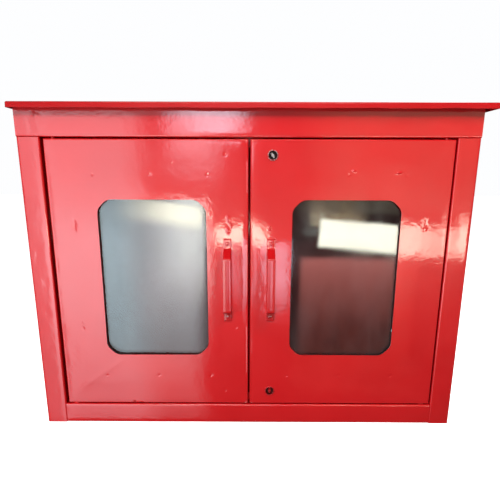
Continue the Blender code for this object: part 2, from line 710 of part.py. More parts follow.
def lock_plug(level, x, z, core, zinc):
    """The plug, with the winged post that the key fits over and the square tail that drives the cam."""
    shoulder = LOCK_FLOOR + FIT
    post_front = LOCK_FRONT + 0.0012
    tail_half = 0.0025
    tail_end = CAM_FRONT + CAM_THICKNESS - FIT
    mesh = bmesh.new()
    add_cylinder(mesh, "Y", (x, 0.0, z), PLUG_RADIUS, shoulder, LOCK_BACK + FIT, 16)
    plug = build(f"{level}_lock_plug", mesh, zinc, core)
    post = bmesh.new()
    add_cylinder(post, "Y", (x, 0.0, z), 0.0025, post_front, shoulder + 0.0010, SMALL_ROUND)
    join(plug, "post", post)
    wings = bmesh.new()
    add_prism(wings, rectangle(-0.0014, 0.0014, -0.0046, 0.0046), "Y", post_front + 0.0006, shoulder + 0.0008)
    bmesh.ops.rotate(wings, verts=wings.verts, matrix=Matrix.Rotation(-LOCK_TURN[level], 3, "Y"))
    bmesh.ops.translate(wings, verts=wings.verts, vec=(x, 0, z))
    join(plug, "wings", wings)
    tail = bmesh.new()
    square = rectangle(x - tail_half, x + tail_half, z - tail_half, z + tail_half)
    add_prism(tail, square, "Y", LOCK_BACK - 0.0010, tail_end)
    join(plug, "tail", tail)
    tapped = bmesh.new()
    add_cylinder(tapped, "Y", (x, tail_end, z), SCREW_HOLE, -0.0080, 0.0010, SMALL_ROUND)
    cut(plug, "tapped", tapped)


def cam(level, x, z, core, zinc):
    """The flat tongue that turns behind the rail; at rest it points away from the meeting gap."""
    half = CAM_WIDTH / 2
    outline = rounded_outline(rectangle(x - half, x + CAM_LENGTH, z - half, z + half), half * 0.98, 4)
    mesh = bmesh.new()
    add_prism(mesh, outline, "Y", CAM_FRONT, CAM_FRONT + CAM_THICKNESS)
    plate = build(f"{level}_lock_cam", mesh, zinc, core)
    mesh = bmesh.new()
    socket = 0.0025 + FIT
    square = rectangle(x - socket, x + socket, z - socket, z + socket)
    add_prism(mesh, square, "Y", CAM_FRONT - FIT, CAM_FRONT + CAM_THICKNESS + FIT)
    cut(plate, "socket", mesh)
    head = CAM_FRONT + CAM_THICKNESS + FIT
    profile = [
        (0.0, head - 0.0060), (SCREW_HOLE - FIT, head - 0.0060), (SCREW_HOLE - FIT, head),
        (0.0045, head), (0.0045, head + 0.0014), (0.0028, head + 0.0024), (0.0, head + 0.0026),
    ]
    mesh = bmesh.new()
    add_turned(mesh, profile, "Y", (x, 0.0, z), SMALL_ROUND)
    build(f"{level}_lock_cam_screw", mesh, zinc, core)


# ---------------------------------------------------------------- slide bolts


def slide_bolt(level, door_hinge, zinc):
    """A round bolt in a two-saddle guide behind the left door, drawn back from the rail at rest."""
    way = 1 if level == "upper" else -1
    x = MEETING_X + BOLT_X
    tip = DOOR_TOP - FIT if level == "upper" else DOOR_BOTTOM + FIT
    tail = tip - way * BOLT_LENGTH
    slider = joint(f"{level}_bolt_slide", (x, BOLT_Y, tip), door_hinge)

    near = tip - way * 0.0240  # end of the guide nearest the rail
    far = near - way * (2 * SADDLE_HEIGHT + SADDLE_GAP)
    low, high = sorted((near, far))
    mesh = bmesh.new()
    plate_back = INNER_FACE + GUIDE_PLATE
    half = GUIDE_HALF_WIDTH
    saddle_back = BOLT_Y + BOLT_RADIUS + 0.0025
    saddle_half = BOLT_RADIUS + 0.0025
    add_box(mesh, (x - half, INNER_FACE, low), (x + half, plate_back, high))
    guide = build(f"{level}_bolt_guide", mesh, zinc, door_hinge)
    for name, start in (("saddle_low", low), ("saddle_high", high - SADDLE_HEIGHT)):
        saddle = bmesh.new()
        add_box(
            saddle,
            (x - saddle_half, INNER_FACE + GUIDE_PLATE / 2, start + FIT),
            (x + saddle_half, saddle_back, start + SADDLE_HEIGHT - FIT),
        )
        join(guide, name, saddle)
    mesh = bmesh.new()
    add_cylinder(mesh, "Z", (x, BOLT_Y, low), BOLT_RADIUS + FIT, -0.0010, high - low + 0.0010, 16)
    cut(guide, "bore", mesh)

    start, end = sorted((tail, tip))
    mesh = bmesh.new()
    add_cylinder(mesh, "Z", (x, BOLT_Y, 0.0), BOLT_RADIUS, start, end, 16)
    rod = build(f"{level}_bolt_rod", mesh, zinc, slider)
    # At rest the knob stands in the half of the guide's slot that is further from the rail.
    knob_z = (low + high) / 2 - way * BOLT_TRAVEL / 2
    mesh = bmesh.new()
    add_cylinder(mesh, "Y", (x, BOLT_Y, knob_z), 0.0015 + FIT, -0.0020, BOLT_RADIUS + 0.0010, 8)
    cut(rod, "knob_hole", mesh)
    seat = BOLT_RADIUS + FIT
    profile = [
        (0.0, -0.0010), (0.0015, -0.0010), (0.0015, seat), (KNOB_RADIUS, seat),
        (KNOB_RADIUS, seat + 0.0090), (KNOB_RADIUS + 0.0012, seat + 0.0110), (KNOB_RADIUS, seat + 0.0140),
        (0.0, seat + 0.0146),
    ]
    mesh = bmesh.new()
    add_turned(mesh, profile, "Y", (x, BOLT_Y, knob_z), SMALL_ROUND)
    build(f"{level}_bolt_knob", mesh, zinc, slider)


# ---------------------------------------------------------------- assembly


def door(side_name, side, finishes):
    """One door with everything that swings with it."""
    edge = LEFT_DOOR_X if side < 0 else RIGHT_DOOR_X
    pivot_x = LEFT_PIVOT_X if side < 0 else RIGHT_PIVOT_X
    left, right = sorted((edge, edge - side * DOOR_WIDTH))
    window_x = MEETING_X + side * WINDOW_X
    handle_x = MEETING_X + side * HANDLE_X
    hinge = joint(f"{side_name}_door_hinge", (pivot_x, PIVOT_Y, (DOOR_BOTTOM + DOOR_TOP) / 2))
    holes = [(handle_x, z, RIVET_HOLE) for z in handle_rivet_heights()]
    if side > 0:
        holes += [(MEETING_X + LOCK_X, z, LOCK_RADIUS + FIT) for z in LOCK_Z.values()]
    door_panel(f"{side_name}_door_panel", left, right, pivot_x, window_x, holes, hinge, finishes["paint"])
    glazing(side_name, window_x, hinge, finishes)
    handle(side_name, handle_x, hinge, finishes["paint"])
    pivot_blocks(side_name, pivot_x, hinge, finishes["paint"])
    pivot_pins(side_name, pivot_x, finishes["paint"])
    for level in ("upper", "lower"):
        if side > 0:
            lock(level, hinge, finishes["zinc"])
        else:
            slide_bolt(level, hinge, finishes["zinc"])


def main():
    for obj in list(bpy.data.objects):
        bpy.data.objects.remove(obj)
    finishes = {
        "paint": material("red_enamel", (0.62, 0.02, 0.02), 0.22),
        "zinc": material("zinc_plate", (0.62, 0.62, 0.60), 0.35, metallic=1.0),
        "glass": material("clear_glass", (0.75, 0.80, 0.80), 0.05, alpha=0.35),
        "rubber": material("black_rubber", (0.02, 0.02, 0.02), 0.80),
    }
    paint = finishes["paint"]
    back_panel(paint)
    side_panel("left_side_panel", -1, paint)
    side_panel("right_side_panel", 1, paint)
    top_panel(paint)
    bottom_panel(paint)
    roof_cover(paint)
    door("left", -1, finishes)
    door("right", 1, finishes)


main()
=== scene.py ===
"""Looks of the double-door fire hose cabinet: enamelled sheet steel, glazing, handles and locks, and their studio."""

import json
import math

import bmesh
import bpy
import numpy as np
from mathutils import Matrix, Vector, kdtree
from mathutils.geometry import delaunay_2d_cdt

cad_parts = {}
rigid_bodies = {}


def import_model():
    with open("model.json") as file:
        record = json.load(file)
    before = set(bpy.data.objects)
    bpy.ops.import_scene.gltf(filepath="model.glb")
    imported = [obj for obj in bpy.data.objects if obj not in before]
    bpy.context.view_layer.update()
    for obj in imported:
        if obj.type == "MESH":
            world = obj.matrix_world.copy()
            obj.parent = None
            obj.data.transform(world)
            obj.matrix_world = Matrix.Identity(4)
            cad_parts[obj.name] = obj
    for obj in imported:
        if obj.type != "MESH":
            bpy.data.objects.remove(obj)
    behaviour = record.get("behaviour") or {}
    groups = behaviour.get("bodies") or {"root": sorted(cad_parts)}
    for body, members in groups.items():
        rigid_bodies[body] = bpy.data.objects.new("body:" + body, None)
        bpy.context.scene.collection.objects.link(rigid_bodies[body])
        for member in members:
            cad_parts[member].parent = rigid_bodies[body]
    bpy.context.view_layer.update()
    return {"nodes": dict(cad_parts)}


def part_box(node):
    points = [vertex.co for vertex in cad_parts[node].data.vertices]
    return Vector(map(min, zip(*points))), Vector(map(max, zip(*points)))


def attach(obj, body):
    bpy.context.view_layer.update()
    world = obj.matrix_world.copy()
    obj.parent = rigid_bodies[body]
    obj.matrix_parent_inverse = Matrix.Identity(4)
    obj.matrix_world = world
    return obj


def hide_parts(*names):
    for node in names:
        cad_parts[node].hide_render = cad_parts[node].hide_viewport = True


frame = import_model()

NODES = frame["nodes"]
SIDES = {"left": -1, "right": 1}
LEVELS = ("upper", "lower")

# Sheets, in metres
BODY_SHEET = 0.0016
BODY_BEND = 0.0030  # outer radius of the carcass's folds
DOOR_SHEET = 0.0012
DOOR_BEND = 0.0024
DOOR_GAP = 0.0025  # above and below the doors
ROOF_SHEET = 0.0012
ROOF_BEND = 0.0022
ROOF_LEAN = 0.08  # how far the roof's lip leans back, per metre of height
FIT = 0.0003
PAST = 0.0100  # how far a cutting box reaches past what it cuts
HOLE_REACH = 0.0040  # how far a hole's cutter reaches each way
FOLD_DEPTH = 0.0038  # how deep a rail or stile is cut where the other passes in front
RETURN_DEPTH = 0.0200
STOP_DEPTH = 0.0150
STOP_HALF = 0.0270
STOP_BEHIND = 0.0183  # from the carcass's face to the doors' stops
PIVOT_HOLE_RADIUS = 0.0033
BOLT_HOLE_RADIUS = 0.0046
WALL_HOLE_RADIUS = 0.0050
WALL_HOLE_X = 0.3750
WALL_HOLE_Z = (0.0900, 0.5100)

# Glazing
GASKET_OUTER = 0.0130  # from the window's edge to the gasket's outer edge
WINDOW_CHAMFER = 0.0175
WINDOW_FILLET = 0.0200
STUD_MARGIN = 0.0430
STUD_SPACING = 0.1010
STUD_RADIUS = 0.0025
STUD_LENGTH = 0.0090
TAB_MARGIN = 0.0430
TAB_SPACING = 0.1960
TAB_WIDTH = 0.0160
GLASS_MARGIN = 0.0280
RETAINER_SHEET = 0.0015

# Handles and locks
HANDLE_SHEET = 0.0030
HANDLE_FOOT = 0.0172
HANDLE_GRIP = 0.1040
HANDLE_LEAN = 0.0060  # how far the upper leg slopes down as it comes out
HANDLE_BEND = 0.0036
HANDLE_EDGE = 0.0007  # how far the strap's edges are broken
RIVET_RADIUS = 0.0021
RIVET_HEAD = 0.0036
RIVET_DOME = 0.0007
RIVET_TAIL = 0.0012
LOCK_RECESS = 0.0076
LOCK_SHAFT = 0.0080
LOCK_PLUG = 0.0050
LOCK_FLOOR = 0.0065  # depth of the key recess
LOCK_ROLL = 0.0011  # radius of the rim's outer edge
LOCK_LIP = 0.0006  # radius of the rim's inner edge

HALF_WIDTH, BACK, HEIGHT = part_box("back_panel")[1]
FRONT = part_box("left_side_panel")[0].y
OPENING_HALF = abs(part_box("left_side_panel")[1].x)
OPENING_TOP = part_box("right_door_panel")[1].z + DOOR_GAP
OPENING_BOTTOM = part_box("right_door_panel")[0].z - DOOR_GAP


# ---------------------------------------------------------------- outlines


def corner_arc(before, corner, after, radius, steps):
    """Points and tangents along the arc that rounds a corner of a path."""
    into = (corner - before).normalized()
    out = (after - corner).normalized()
    turn = math.atan2(into.x * out.y - into.y * out.x, into.dot(out))
    reach = radius * math.tan(abs(turn) / 2)
    side = Vector((-into.y, into.x)) * math.copysign(1, turn)
    centre = corner - into * reach + side * radius
    found = []
    for step in range(steps + 1):
        spin = Matrix.Rotation(turn * step / steps, 2)
        found.append((centre - spin @ (side * radius), spin @ into))
    return found


def stations_along(path, radius, steps, spacing=None):
    """Points and tangents along a path with rounded bends, with its straight runs divided to a spacing."""
    path = [Vector(point) for point in path]
    found = [(path[0], (path[1] - path[0]).normalized())]
    for index in range(1, len(path) - 1):
        found += corner_arc(path[index - 1], path[index], path[index + 1], radius, steps)
    found.append((path[-1], (path[-1] - path[-2]).normalized()))
    if not spacing:
        return found
    dense = [found[0]]
    for point, along in found[1:]:
        start, count = dense[-1][0], max(1, round((point - dense[-1][0]).length / spacing))
        for step in range(1, count):
            dense.append((start.lerp(point, step / count), (point - start).normalized()))
        dense.append((point, along))
    return dense


def strip_outline(path, thickness, radius, steps=6, spacing=None):
    """Closed outline of a strip of that thickness whose middle follows the path."""
    stations = stations_along(path, radius, steps, spacing)
    left = [point + Vector((-along.y, along.x)) * thickness / 2 for point, along in stations]
    right = [point - Vector((-along.y, along.x)) * thickness / 2 for point, along in stations]
    return left + right[::-1]


def rounded_outline(corners, radius, steps):
    corners = [Vector(corner) for corner in corners]
    points = []
    for index, corner in enumerate(corners):
        after = corners[(index + 1) % len(corners)]
        points += [point for point, _ in corner_arc(corners[index - 1], corner, after, radius, steps)]
    return points


def divided(outline, spacing):
    """The same closed outline with its long edges divided to a spacing."""
    points = []
    for index, point in enumerate(outline):
        after = outline[(index + 1) % len(outline)]
        count = max(1, round((after - point).length / spacing))
        points += [point.lerp(after, step / count) for step in range(count)]
    return points


def circle(centre, radius, sides):
    angles = [2 * math.pi * side / sides for side in range(sides)]
    return [Vector((centre[0] + radius * math.cos(a), centre[1] + radius * math.sin(a))) for a in angles]


def window_box(side_name):
    """(left, right, bottom, top) of a door's window."""
    low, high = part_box(f"{side_name}_window_gasket")
    return low.x + GASKET_OUTER, high.x - GASKET_OUTER, low.z + GASKET_OUTER, high.z - GASKET_OUTER


def window_outline(side_name):
    left, right, bottom, top = window_box(side_name)
    cut = WINDOW_CHAMFER
    corners = [
        (left + cut, bottom), (right - cut, bottom), (right, bottom + cut), (right, top - cut),
        (right - cut, top), (left + cut, top), (left, top - cut), (left, bottom + cut),
    ]
    return rounded_outline(corners, WINDOW_FILLET, 6)


def inside(xs, ys, outline):
    """Which of the points are inside a closed outline."""
    within = np.zeros(len(xs), dtype=bool)
    for index, b in enumerate(outline):
        a = outline[index - 1]
        if a.y != b.y:
            crossed = (a.y > ys) != (b.y > ys)
            within ^= crossed & (xs < a.x + (ys - a.y) * (b.x - a.x) / (b.y - a.y))
    return within


def in_sheet(points, outline, holes):
    """Which of the points are inside an outline and outside its holes."""
    xs, ys = np.array([p[0] for p in points]), np.array([p[1] for p in points])
    within = inside(xs, ys, outline)
    for hole in holes:
        within &= ~inside(xs, ys, hole)
    return within


# ---------------------------------------------------------------- mesh parts


def placed_ring(mesh, outline, axis, place):
    """Adds an outline's points, drawn across an axis, at a place along it."""
    along, across, up = {"X": (0, 1, 2), "Y": (1, 0, 2), "Z": (2, 0, 1)}[axis]
    ring = []
    for u, v in outline:
        point = [0.0, 0.0, 0.0]
        point[along], point[across], point[up] = place, u, v
        ring.append(mesh.verts.new(point))
    return ring


def add_prism(mesh, outline, axis, low, high):
    """Adds an outline drawn across an axis as a solid from low to high along it."""
    ends = [placed_ring(mesh, outline, axis, place) for place in (low, high)]
    mesh.faces.new(ends[0])
    mesh.faces.new(ends[1][::-1])
    for index in range(len(outline)):
        mesh.faces.new((ends[0][index - 1], ends[0][index], ends[1][index], ends[1][index - 1]))


def add_box(mesh, low, high):
    corners = [(low[0], low[1]), (high[0], low[1]), (high[0], high[1]), (low[0], high[1])]
    add_prism(mesh, corners, "Z", low[2], high[2])


def add_turned(mesh, profile, centre, sides=64):
    """Adds a piece turned about a line along Y: a closed profile of (radius, y)."""
    rings = []
    for radius, y in profile:
        ring = circle(centre, radius, sides) if radius else [Vector(centre)]
        rings.append([mesh.verts.new((point.x, y, point.y)) for point in ring])
    for index, ring in enumerate(rings):
        before = rings[index - 1]
        if len(before) == 1 and len(ring) == 1:
            continue
        for side in range(sides):
            ends = [found[place % len(found)] for found in (before, ring) for place in (side, (side + 1) % sides)]
            corners = dict.fromkeys((ends[0], ends[1], ends[3], ends[2]))
            mesh.faces.new(list(corners))


def join_rings(mesh, rings):
    """Faces between neighbouring closed rings of the same number of points."""
    for before, ring in zip(rings, rings[1:]):
        for index in range(len(ring)):
            after = (index + 1) % len(ring)
            mesh.faces.new((before[index], before[after], ring[after], ring[index]))


def linked(name, data):
    """A new object in the scene. data is an object's data, or a mesh being built, which is used up."""
    if isinstance(data, bmesh.types.BMesh):
        built, data = data, bpy.data.meshes.new(name)
        built.to_mesh(data)
        built.free()
    obj = bpy.data.objects.new(name, data)
    bpy.context.scene.collection.objects.link(obj)
    return obj


def shaded_inside_faces(face):
    """True if a face is within the carcass, behind the doors' front, and turned to its middle: such a face gets the
    inner finish, painted shade for the dim interior and the gaps round the doors.
    """
    x, y, z = face.calc_center_median()
    turned_in = face.normal.dot(Vector((0.0, 0.0, HEIGHT / 2)) - Vector((x, y, z))) > 0
    within = y < BACK - FIT and abs(x) < HALF_WIDTH - FIT and FIT < z < HEIGHT - FIT
    return turned_in and within and y > FRONT + 0.0030


def shown(name, mesh, finish, body, replaced, sharp=35.0, inner=None, within=shaded_inside_faces):
    """Makes a smooth-shaded piece that stands for CAD nodes and rides on a body."""
    bmesh.ops.recalc_face_normals(mesh, faces=mesh.faces)
    # inner is a darker finish, painted shade, for the faces that within picks: the dim interior, or a lock's key
    # recess.
    if inner:
        for face in mesh.faces:
            face.material_index = int(within(face))
    obj = linked(name, mesh)
    for used in (finish, inner) if inner else (finish,):
        obj.data.materials.append(used)
    obj.data.shade_smooth()
    obj.data.set_sharp_from_angle(angle=math.radians(sharp))
    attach(obj, body)
    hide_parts(*replaced)


def without(mesh, boxes, cylinders=()):
    """The mesh with boxes and upright round holes (centre, radius) cut out of it."""
    tool = bmesh.new()
    for low, high in boxes:
        add_box(tool, low, high)
    for (x, y, z), radius in cylinders:
        add_prism(tool, circle((x, y), radius, 24), "Z", z - HOLE_REACH, z + HOLE_REACH)
    for source in (tool, mesh):
        bmesh.ops.recalc_face_normals(source, faces=source.faces)
    made = [linked("body", mesh), linked("tool", tool)]
    modifier = made[0].modifiers.new("cut", "BOOLEAN")
    modifier.operation = "DIFFERENCE"
    modifier.solver = "EXACT"
    modifier.use_self = True
    modifier.object = made[1]
    bpy.context.view_layer.update()
    result = bmesh.new()
    result.from_object(made[0], bpy.context.evaluated_depsgraph_get())
    for obj in made:
        data = obj.data
        bpy.data.objects.remove(obj)
        bpy.data.meshes.remove(data)
    return result


# ---------------------------------------------------------------- sheets


ROW_SHARE = 0.866  # height of a row of a triangular grid, as a share of its spacing
FINE_SHARE = 0.2  # spacing round a fault, as a share of the sheet's


def flat_points(outline, holes, spacing, fine_spots):
    """A staggered grid inside an outline and outside its holes, closer together around the fine spots."""
    edge = kdtree.KDTree(sum(len(loop) for loop in [outline, *holes]))
    for index, point in enumerate(p for loop in [outline, *holes] for p in loop):
        edge.insert(point.to_3d(), index)
    edge.balance()
    left, right = min(p.x for p in outline), max(p.x for p in outline)
    bottom, top = min(p.y for p in outline), max(p.y for p in outline)
    rows = int((top - bottom) / (spacing * ROW_SHARE))
    coarse = []
    for row in range(rows + 1):
        z = bottom + (top - bottom) * row / rows
        x = left + (row % 2) * spacing / 2
        while x < right:
            coarse.append(Vector((x, z)))
            x += spacing
    fine, step = [], spacing * FINE_SHARE
    for cx, cz, reach in fine_spots:
        count = int(reach / step)
        for row in range(-count, count + 1):
            for column in range(-count, count + 1):
                away = Vector(((column + (row % 2) * 0.5) * step, row * step * ROW_SHARE))
                if away.length < reach:
                    fine.append(Vector((cx, cz)) + away)
    points = [
        point for point in coarse
        if all((point - Vector((cx, cz))).length > reach + step for cx, cz, reach in fine_spots)
    ]
    near = kdtree.KDTree(max(1, len(fine)))
    for index, point in enumerate(fine):
        near.insert(point.to_3d(), index)
    near.balance()
    taken = set()
    for index, point in enumerate(fine):
        if index in taken:
            continue
        points.append(point)
        close = near.find_range(point.to_3d(), step * 0.55)
        taken.update(other for _, other, _ in close if other > index)
    within = in_sheet(points, outline, holes)
    return [p for p, ok in zip(points, within) if ok and edge.find(p.to_3d())[2] > spacing * 0.33]


def triangulated(outline, holes, spacing, fine_spots):
    """(points, triangles, index of each outline point) of a flat sheet with holes."""
    loops = [outline, *holes]
    points = [point for loop in loops for point in loop]
    edges, start = [], 0
    for loop in loops:
        edges += [(start + index, start + (index + 1) % len(loop)) for index in range(len(loop))]
        start += len(loop)
    bounds = len(points)
    points += flat_points(outline, holes, spacing, fine_spots)
    verts, _, faces, origins, _, _ = delaunay_2d_cdt(points, edges, [], 0, 1e-7)
    place = {}
    for index, sources in enumerate(origins):
        for source in sources:
            place[source] = index
    middles = [sum((verts[index] for index in face), Vector((0, 0))) / len(face) for face in faces]
    kept = [face for face, ok in zip(faces, in_sheet(middles, outline, holes)) if ok]
    return verts, kept, [place[index] for index in range(bounds)]


def pan_loops(depth, thickness, bend):
    """(inset, depth) of the rings round a folded edge, from the outer face to the inner face."""
    steps, lip = 6, 0.0003
    outer = [math.pi / 2 * step / steps for step in range(1, steps + 1)]
    rings = [(bend * (1 - math.sin(a)), bend * (1 - math.cos(a))) for a in outer]
    rings += [(0.0, (bend + depth) / 2), (0.0, depth - lip), (lip, depth)]
    rings += [(thickness - lip, depth), (thickness, depth - lip), (thickness, (bend + depth) / 2)]
    inner = bend - thickness
    for a in outer[::-1]:
        rings.append((thickness + inner * (1 - math.sin(a)), thickness + inner * (1 - math.cos(a))))
    return rings


def rectangle_ring(box, inset, radius, counts):
    """A rounded rectangle with a fixed number of points, whatever its inset."""
    corner_steps = 3
    left, right, bottom, top = box[0] + inset, box[1] - inset, box[2] + inset, box[3] - inset
    corners = [(right, top), (left, top), (left, bottom), (right, bottom)]
    ways = [(-1, -1), (1, -1), (1, 1), (-1, 1)]
    arcs = []
    for quarter, ((x, y), (wx, wy)) in enumerate(zip(corners, ways)):
        centre = Vector((x + wx * radius, y + wy * radius))
        start, turn = quarter * math.pi / 2, math.pi / 2
        turns = [start + turn * step / corner_steps for step in range(corner_steps + 1)]
        arcs.append([centre + Vector((math.cos(a), math.sin(a))) * radius for a in turns])
    ring = []
    for index, arc in enumerate(arcs):
        ring += arc
        after = arcs[(index + 1) % 4][0]
        count = counts[index % 2]
        ring += [arc[-1].lerp(after, step / count) for step in range(1, count)]
    return ring


def build_pan(box, depth, thickness, bend, holes, spacing, fine_spots, shape, place, corner):
    """A sheet folded back on its four sides, or flat if its depth is 0.

    shape gives how far each point of its face stands out, and place turns a point's (x, y, depth) into space.
    """
    width, height = box[1] - box[0], box[3] - box[2]
    counts = (round(width / spacing), round(height / spacing))
    outline = rectangle_ring(box, bend, corner, counts)
    verts, faces, bounds = triangulated(outline, holes, spacing, fine_spots)
    xs = np.array([v.x for v in verts])
    ys = np.array([v.y for v in verts])
    stand = shape(xs, ys)
    mesh = bmesh.new()
    front = [mesh.verts.new(place(x, y, -s)) for x, y, s in zip(xs, ys, stand)]
    back = [mesh.verts.new(place(x, y, thickness - s)) for x, y, s in zip(xs, ys, stand)]
    for face in faces:
        mesh.faces.new([front[index] for index in face])
        mesh.faces.new([back[index] for index in face][::-1])
    start = len(outline)
    for hole in holes:
        loop = bounds[start:start + len(hole)]
        start += len(hole)
        join_rings(mesh, [[front[index] for index in loop], [back[index] for index in loop]])
    rim = bounds[:len(outline)]
    rings = [[front[index] for index in rim]]
    for inset, down in pan_loops(depth, thickness, bend) if depth else ():
        ring = rectangle_ring(box, inset, corner, counts)
        rings.append([mesh.verts.new(place(point.x, point.y, down)) for point in ring])
    if depth:
        rings.pop()
    rings.append([back[index] for index in rim])
    join_rings(mesh, rings)
    return mesh


def edge_distance(xs, ys, box):
    """How far each point is from the nearest edge of a box."""
    across = np.minimum(xs - box[0], box[1] - xs)
    return np.minimum(across, np.minimum(ys - box[2], box[3] - ys))


def spot(x, y, across, up, tilt, height):
    """A bump given in millimetres, and its tilt in degrees."""
    return x / 1000, y / 1000, across / 1000, up / 1000, math.radians(tilt), height / 1000


def swell(xs, ys, spots):
    """Sum of smooth bumps, each (x, y, half width, half height, tilt, height)."""
    total = np.zeros_like(xs)
    for x, y, across, up, tilt, height in spots:
        c, s = math.cos(tilt), math.sin(tilt)
        u = ((xs - x) * c + (ys - y) * s) / across
        v = (-(xs - x) * s + (ys - y) * c) / up
        total += height * np.exp(-(u * u + v * v))
    return total


def waves(xs, ys, table):
    """Sum of long waves, each (wavelength across, wavelength up, phase, height)."""
    total = np.zeros_like(xs)
    for across, up, phase, height in table:
        total += height * np.sin(2 * math.pi * (xs / across + ys / up) + phase)
    return total


# ---------------------------------------------------------------- materials


def add_node(tree, kind, *placed, **named):
    """Adds a shader node. Each input given, by place or by name, is a value, or an output or node to link."""
    node = tree.nodes.new(f"ShaderNode{kind}")
    given = list(zip(node.inputs, placed))
    given += [(node.inputs[name.replace("_", " ")], value) for name, value in named.items()]
    for socket, value in given:
        if isinstance(value, bpy.types.Node):
            value = value.outputs[0]
        if isinstance(value, bpy.types.NodeSocket):
            tree.links.new(value, socket)
        else:
            socket.default_value = value
    return node


class Nodes:
    """A material under construction."""

    def __init__(self, name):
        self.material = bpy.data.materials.new(name)
        self.material.use_nodes = True
        self.tree = self.material.node_tree
        self.shader = self.tree.nodes["Principled BSDF"]
        self.coords = self.add("TexCoord").outputs["Object"]

    def add(self, kind, *placed, **named):
        return add_node(self.tree, kind, *placed, **named)

    def set(self, **values):
        for name, value in values.items():
            self.shader.inputs[name.replace("_", " ")].default_value = value

    def link(self, output, *names):
        for name in names:
            self.tree.links.new(output, self.shader.inputs[name])

    def surface(self, node):
        """Puts another shader in the place of the standard one."""
        self.tree.nodes.remove(self.shader)
        self.tree.links.new(node.outputs[0], self.tree.nodes["Material Output"].inputs["Surface"])

    def noise(self, scale, detail=2.0, roughness=0.5, stretch=(1, 1, 1)):
        place = self.add("Mapping", self.coords, Scale=stretch)
        return self.add("TexNoise", place, Scale=scale, Detail=detail, Roughness=roughness).outputs["Fac"]

    def ramp(self, source, *stops):
        node = self.add("ValToRGB", source)
        elements = node.color_ramp.elements
        elements[0].position, elements[1].position = stops[0][0], stops[-1][0]
        for place, _ in stops[1:-1]:
            elements.new(place)
        for element, (_, value) in zip(elements, stops):
            colour = value if isinstance(value, tuple) else (value, value, value)
            element.color = (*colour, 1.0)
        return node.outputs["Color"]

    def mix(self, factor, a, b):
        node = self.add("Mix", factor)
        node.data_type = "RGBA"
        for name, value in (("A", a), ("B", b)):
            socket = next(s for s in node.inputs if s.name == name and s.type == "RGBA")
            self.tree.links.new(value, socket)
        return next(s for s in node.outputs if s.type == "RGBA")

    def bump(self, height, distance, **before):
        return self.add("Bump", Distance=distance, Height=height, **before).outputs["Normal"]


RED = (0.620, 0.0055, 0.0090)
RED_DEEP = (0.585, 0.0048, 0.0080)
RED_BRIGHT = (0.645, 0.0062, 0.0098)


def enamel(name="red_enamel", depth=1.0, gloss=1.0):
    """Sprayed and baked gloss enamel over sheet steel: orange peel, faint mottling and dust nibs. A depth under 1 gives
    a darker copy of the colours, used as painted shade.
    """
    made = Nodes(name)
    deep, plain, bright = (tuple(depth * channel for channel in shade) for shade in (RED_DEEP, RED, RED_BRIGHT))
    made.link(made.ramp(made.noise(9.0, 3.0), (0.30, deep), (0.52, plain), (0.72, bright)), "Base Color")
    made.link(made.ramp(made.noise(24.0, 4.0), (0.30, 0.30), (0.75, 0.42)), "Roughness")
    made.set(Coat_Weight=gloss, Coat_Roughness=0.060, Coat_IOR=1.5, Specular_IOR_Level=0.22 * gloss)
    long_wave = made.bump(made.noise(55.0, 1.0), 0.00014)
    peel = made.bump(made.noise(190.0), 0.000085, Normal=long_wave)
    cells = made.add("TexVoronoi", made.coords, Scale=46.0).outputs["Distance"]
    nibs = made.ramp(cells, (0.0, 1.0), (0.055, 0.0), (1.0, 0.0))
    made.link(made.bump(nibs, 0.00005, Normal=peel), "Normal", "Coat Normal")
    return made.material


def chipped(name, bare):
    """Enamel over zinc plate, worn through on a share of the surface."""
    made = Nodes(name)
    patches = made.noise(420.0, 4.0, 0.6)
    worn = made.ramp(patches, (1 - bare - 0.03, 0.0), (1 - bare + 0.03, 1.0))
    zinc = made.ramp(made.noise(900.0, 3.0), (0.3, (0.20, 0.19, 0.20)), (0.7, (0.62, 0.60, 0.60)))
    paint = made.ramp(made.noise(160.0, 3.0), (0.3, (0.26, 0.006, 0.008)), (0.7, RED))
    made.link(made.mix(worn, paint, zinc), "Base Color")
    made.link(worn, "Metallic")
    made.link(made.ramp(patches, (0.3, 0.22), (0.7, 0.42)), "Roughness")
    made.link(made.bump(patches, 0.00012), "Normal")
    return made.material


def grainy(name, colours, roughness, grain, **settings):
    """A dull finish: two shades, two roughnesses and a fine grain, each with the scale of its noise."""
    made = Nodes(name)
    for (scale, detail, low, high), socket in ((colours, "Base Color"), (roughness, "Roughness")):
        made.link(made.ramp(made.noise(scale, detail), low, high), socket)
    made.set(**settings)
    scale, height = grain
    made.link(made.bump(made.noise(scale), height), "Normal")
    return made.material


def recess_shade(name, colour):
    """Painted shade: dark grainy paint at the bottom of a recess, where shade falls."""
    light = tuple(1.8 * channel for channel in colour)
    return grainy(
        name, (500.0, 3.0, (0.35, colour), (0.75, light)), (240.0, 3.0, (0.3, 0.55), (0.7, 0.80)), (900.0, 0.00005),
        Specular_IOR_Level=0.2,
    )


def zinc_plate():
    """Dull zinc-plated steel: fine grain and cloudy staining."""
    return grainy(
        "zinc_plate", (60.0, 4.0, (0.3, (0.40, 0.40, 0.38)), (0.7, (0.66, 0.66, 0.64))),
        (320.0, 3.0, (0.3, 0.28), (0.7, 0.48)), (1500.0, 0.00002), Metallic=1.0,
    )


def rubber():
    return grainy(
        "black_rubber", (90.0, 3.0, (0.3, (0.008, 0.008, 0.008)), (0.7, (0.030, 0.028, 0.027))),
        (240.0, 3.0, (0.3, 0.60), (0.7, 0.85)), (1200.0, 0.00004),
    )


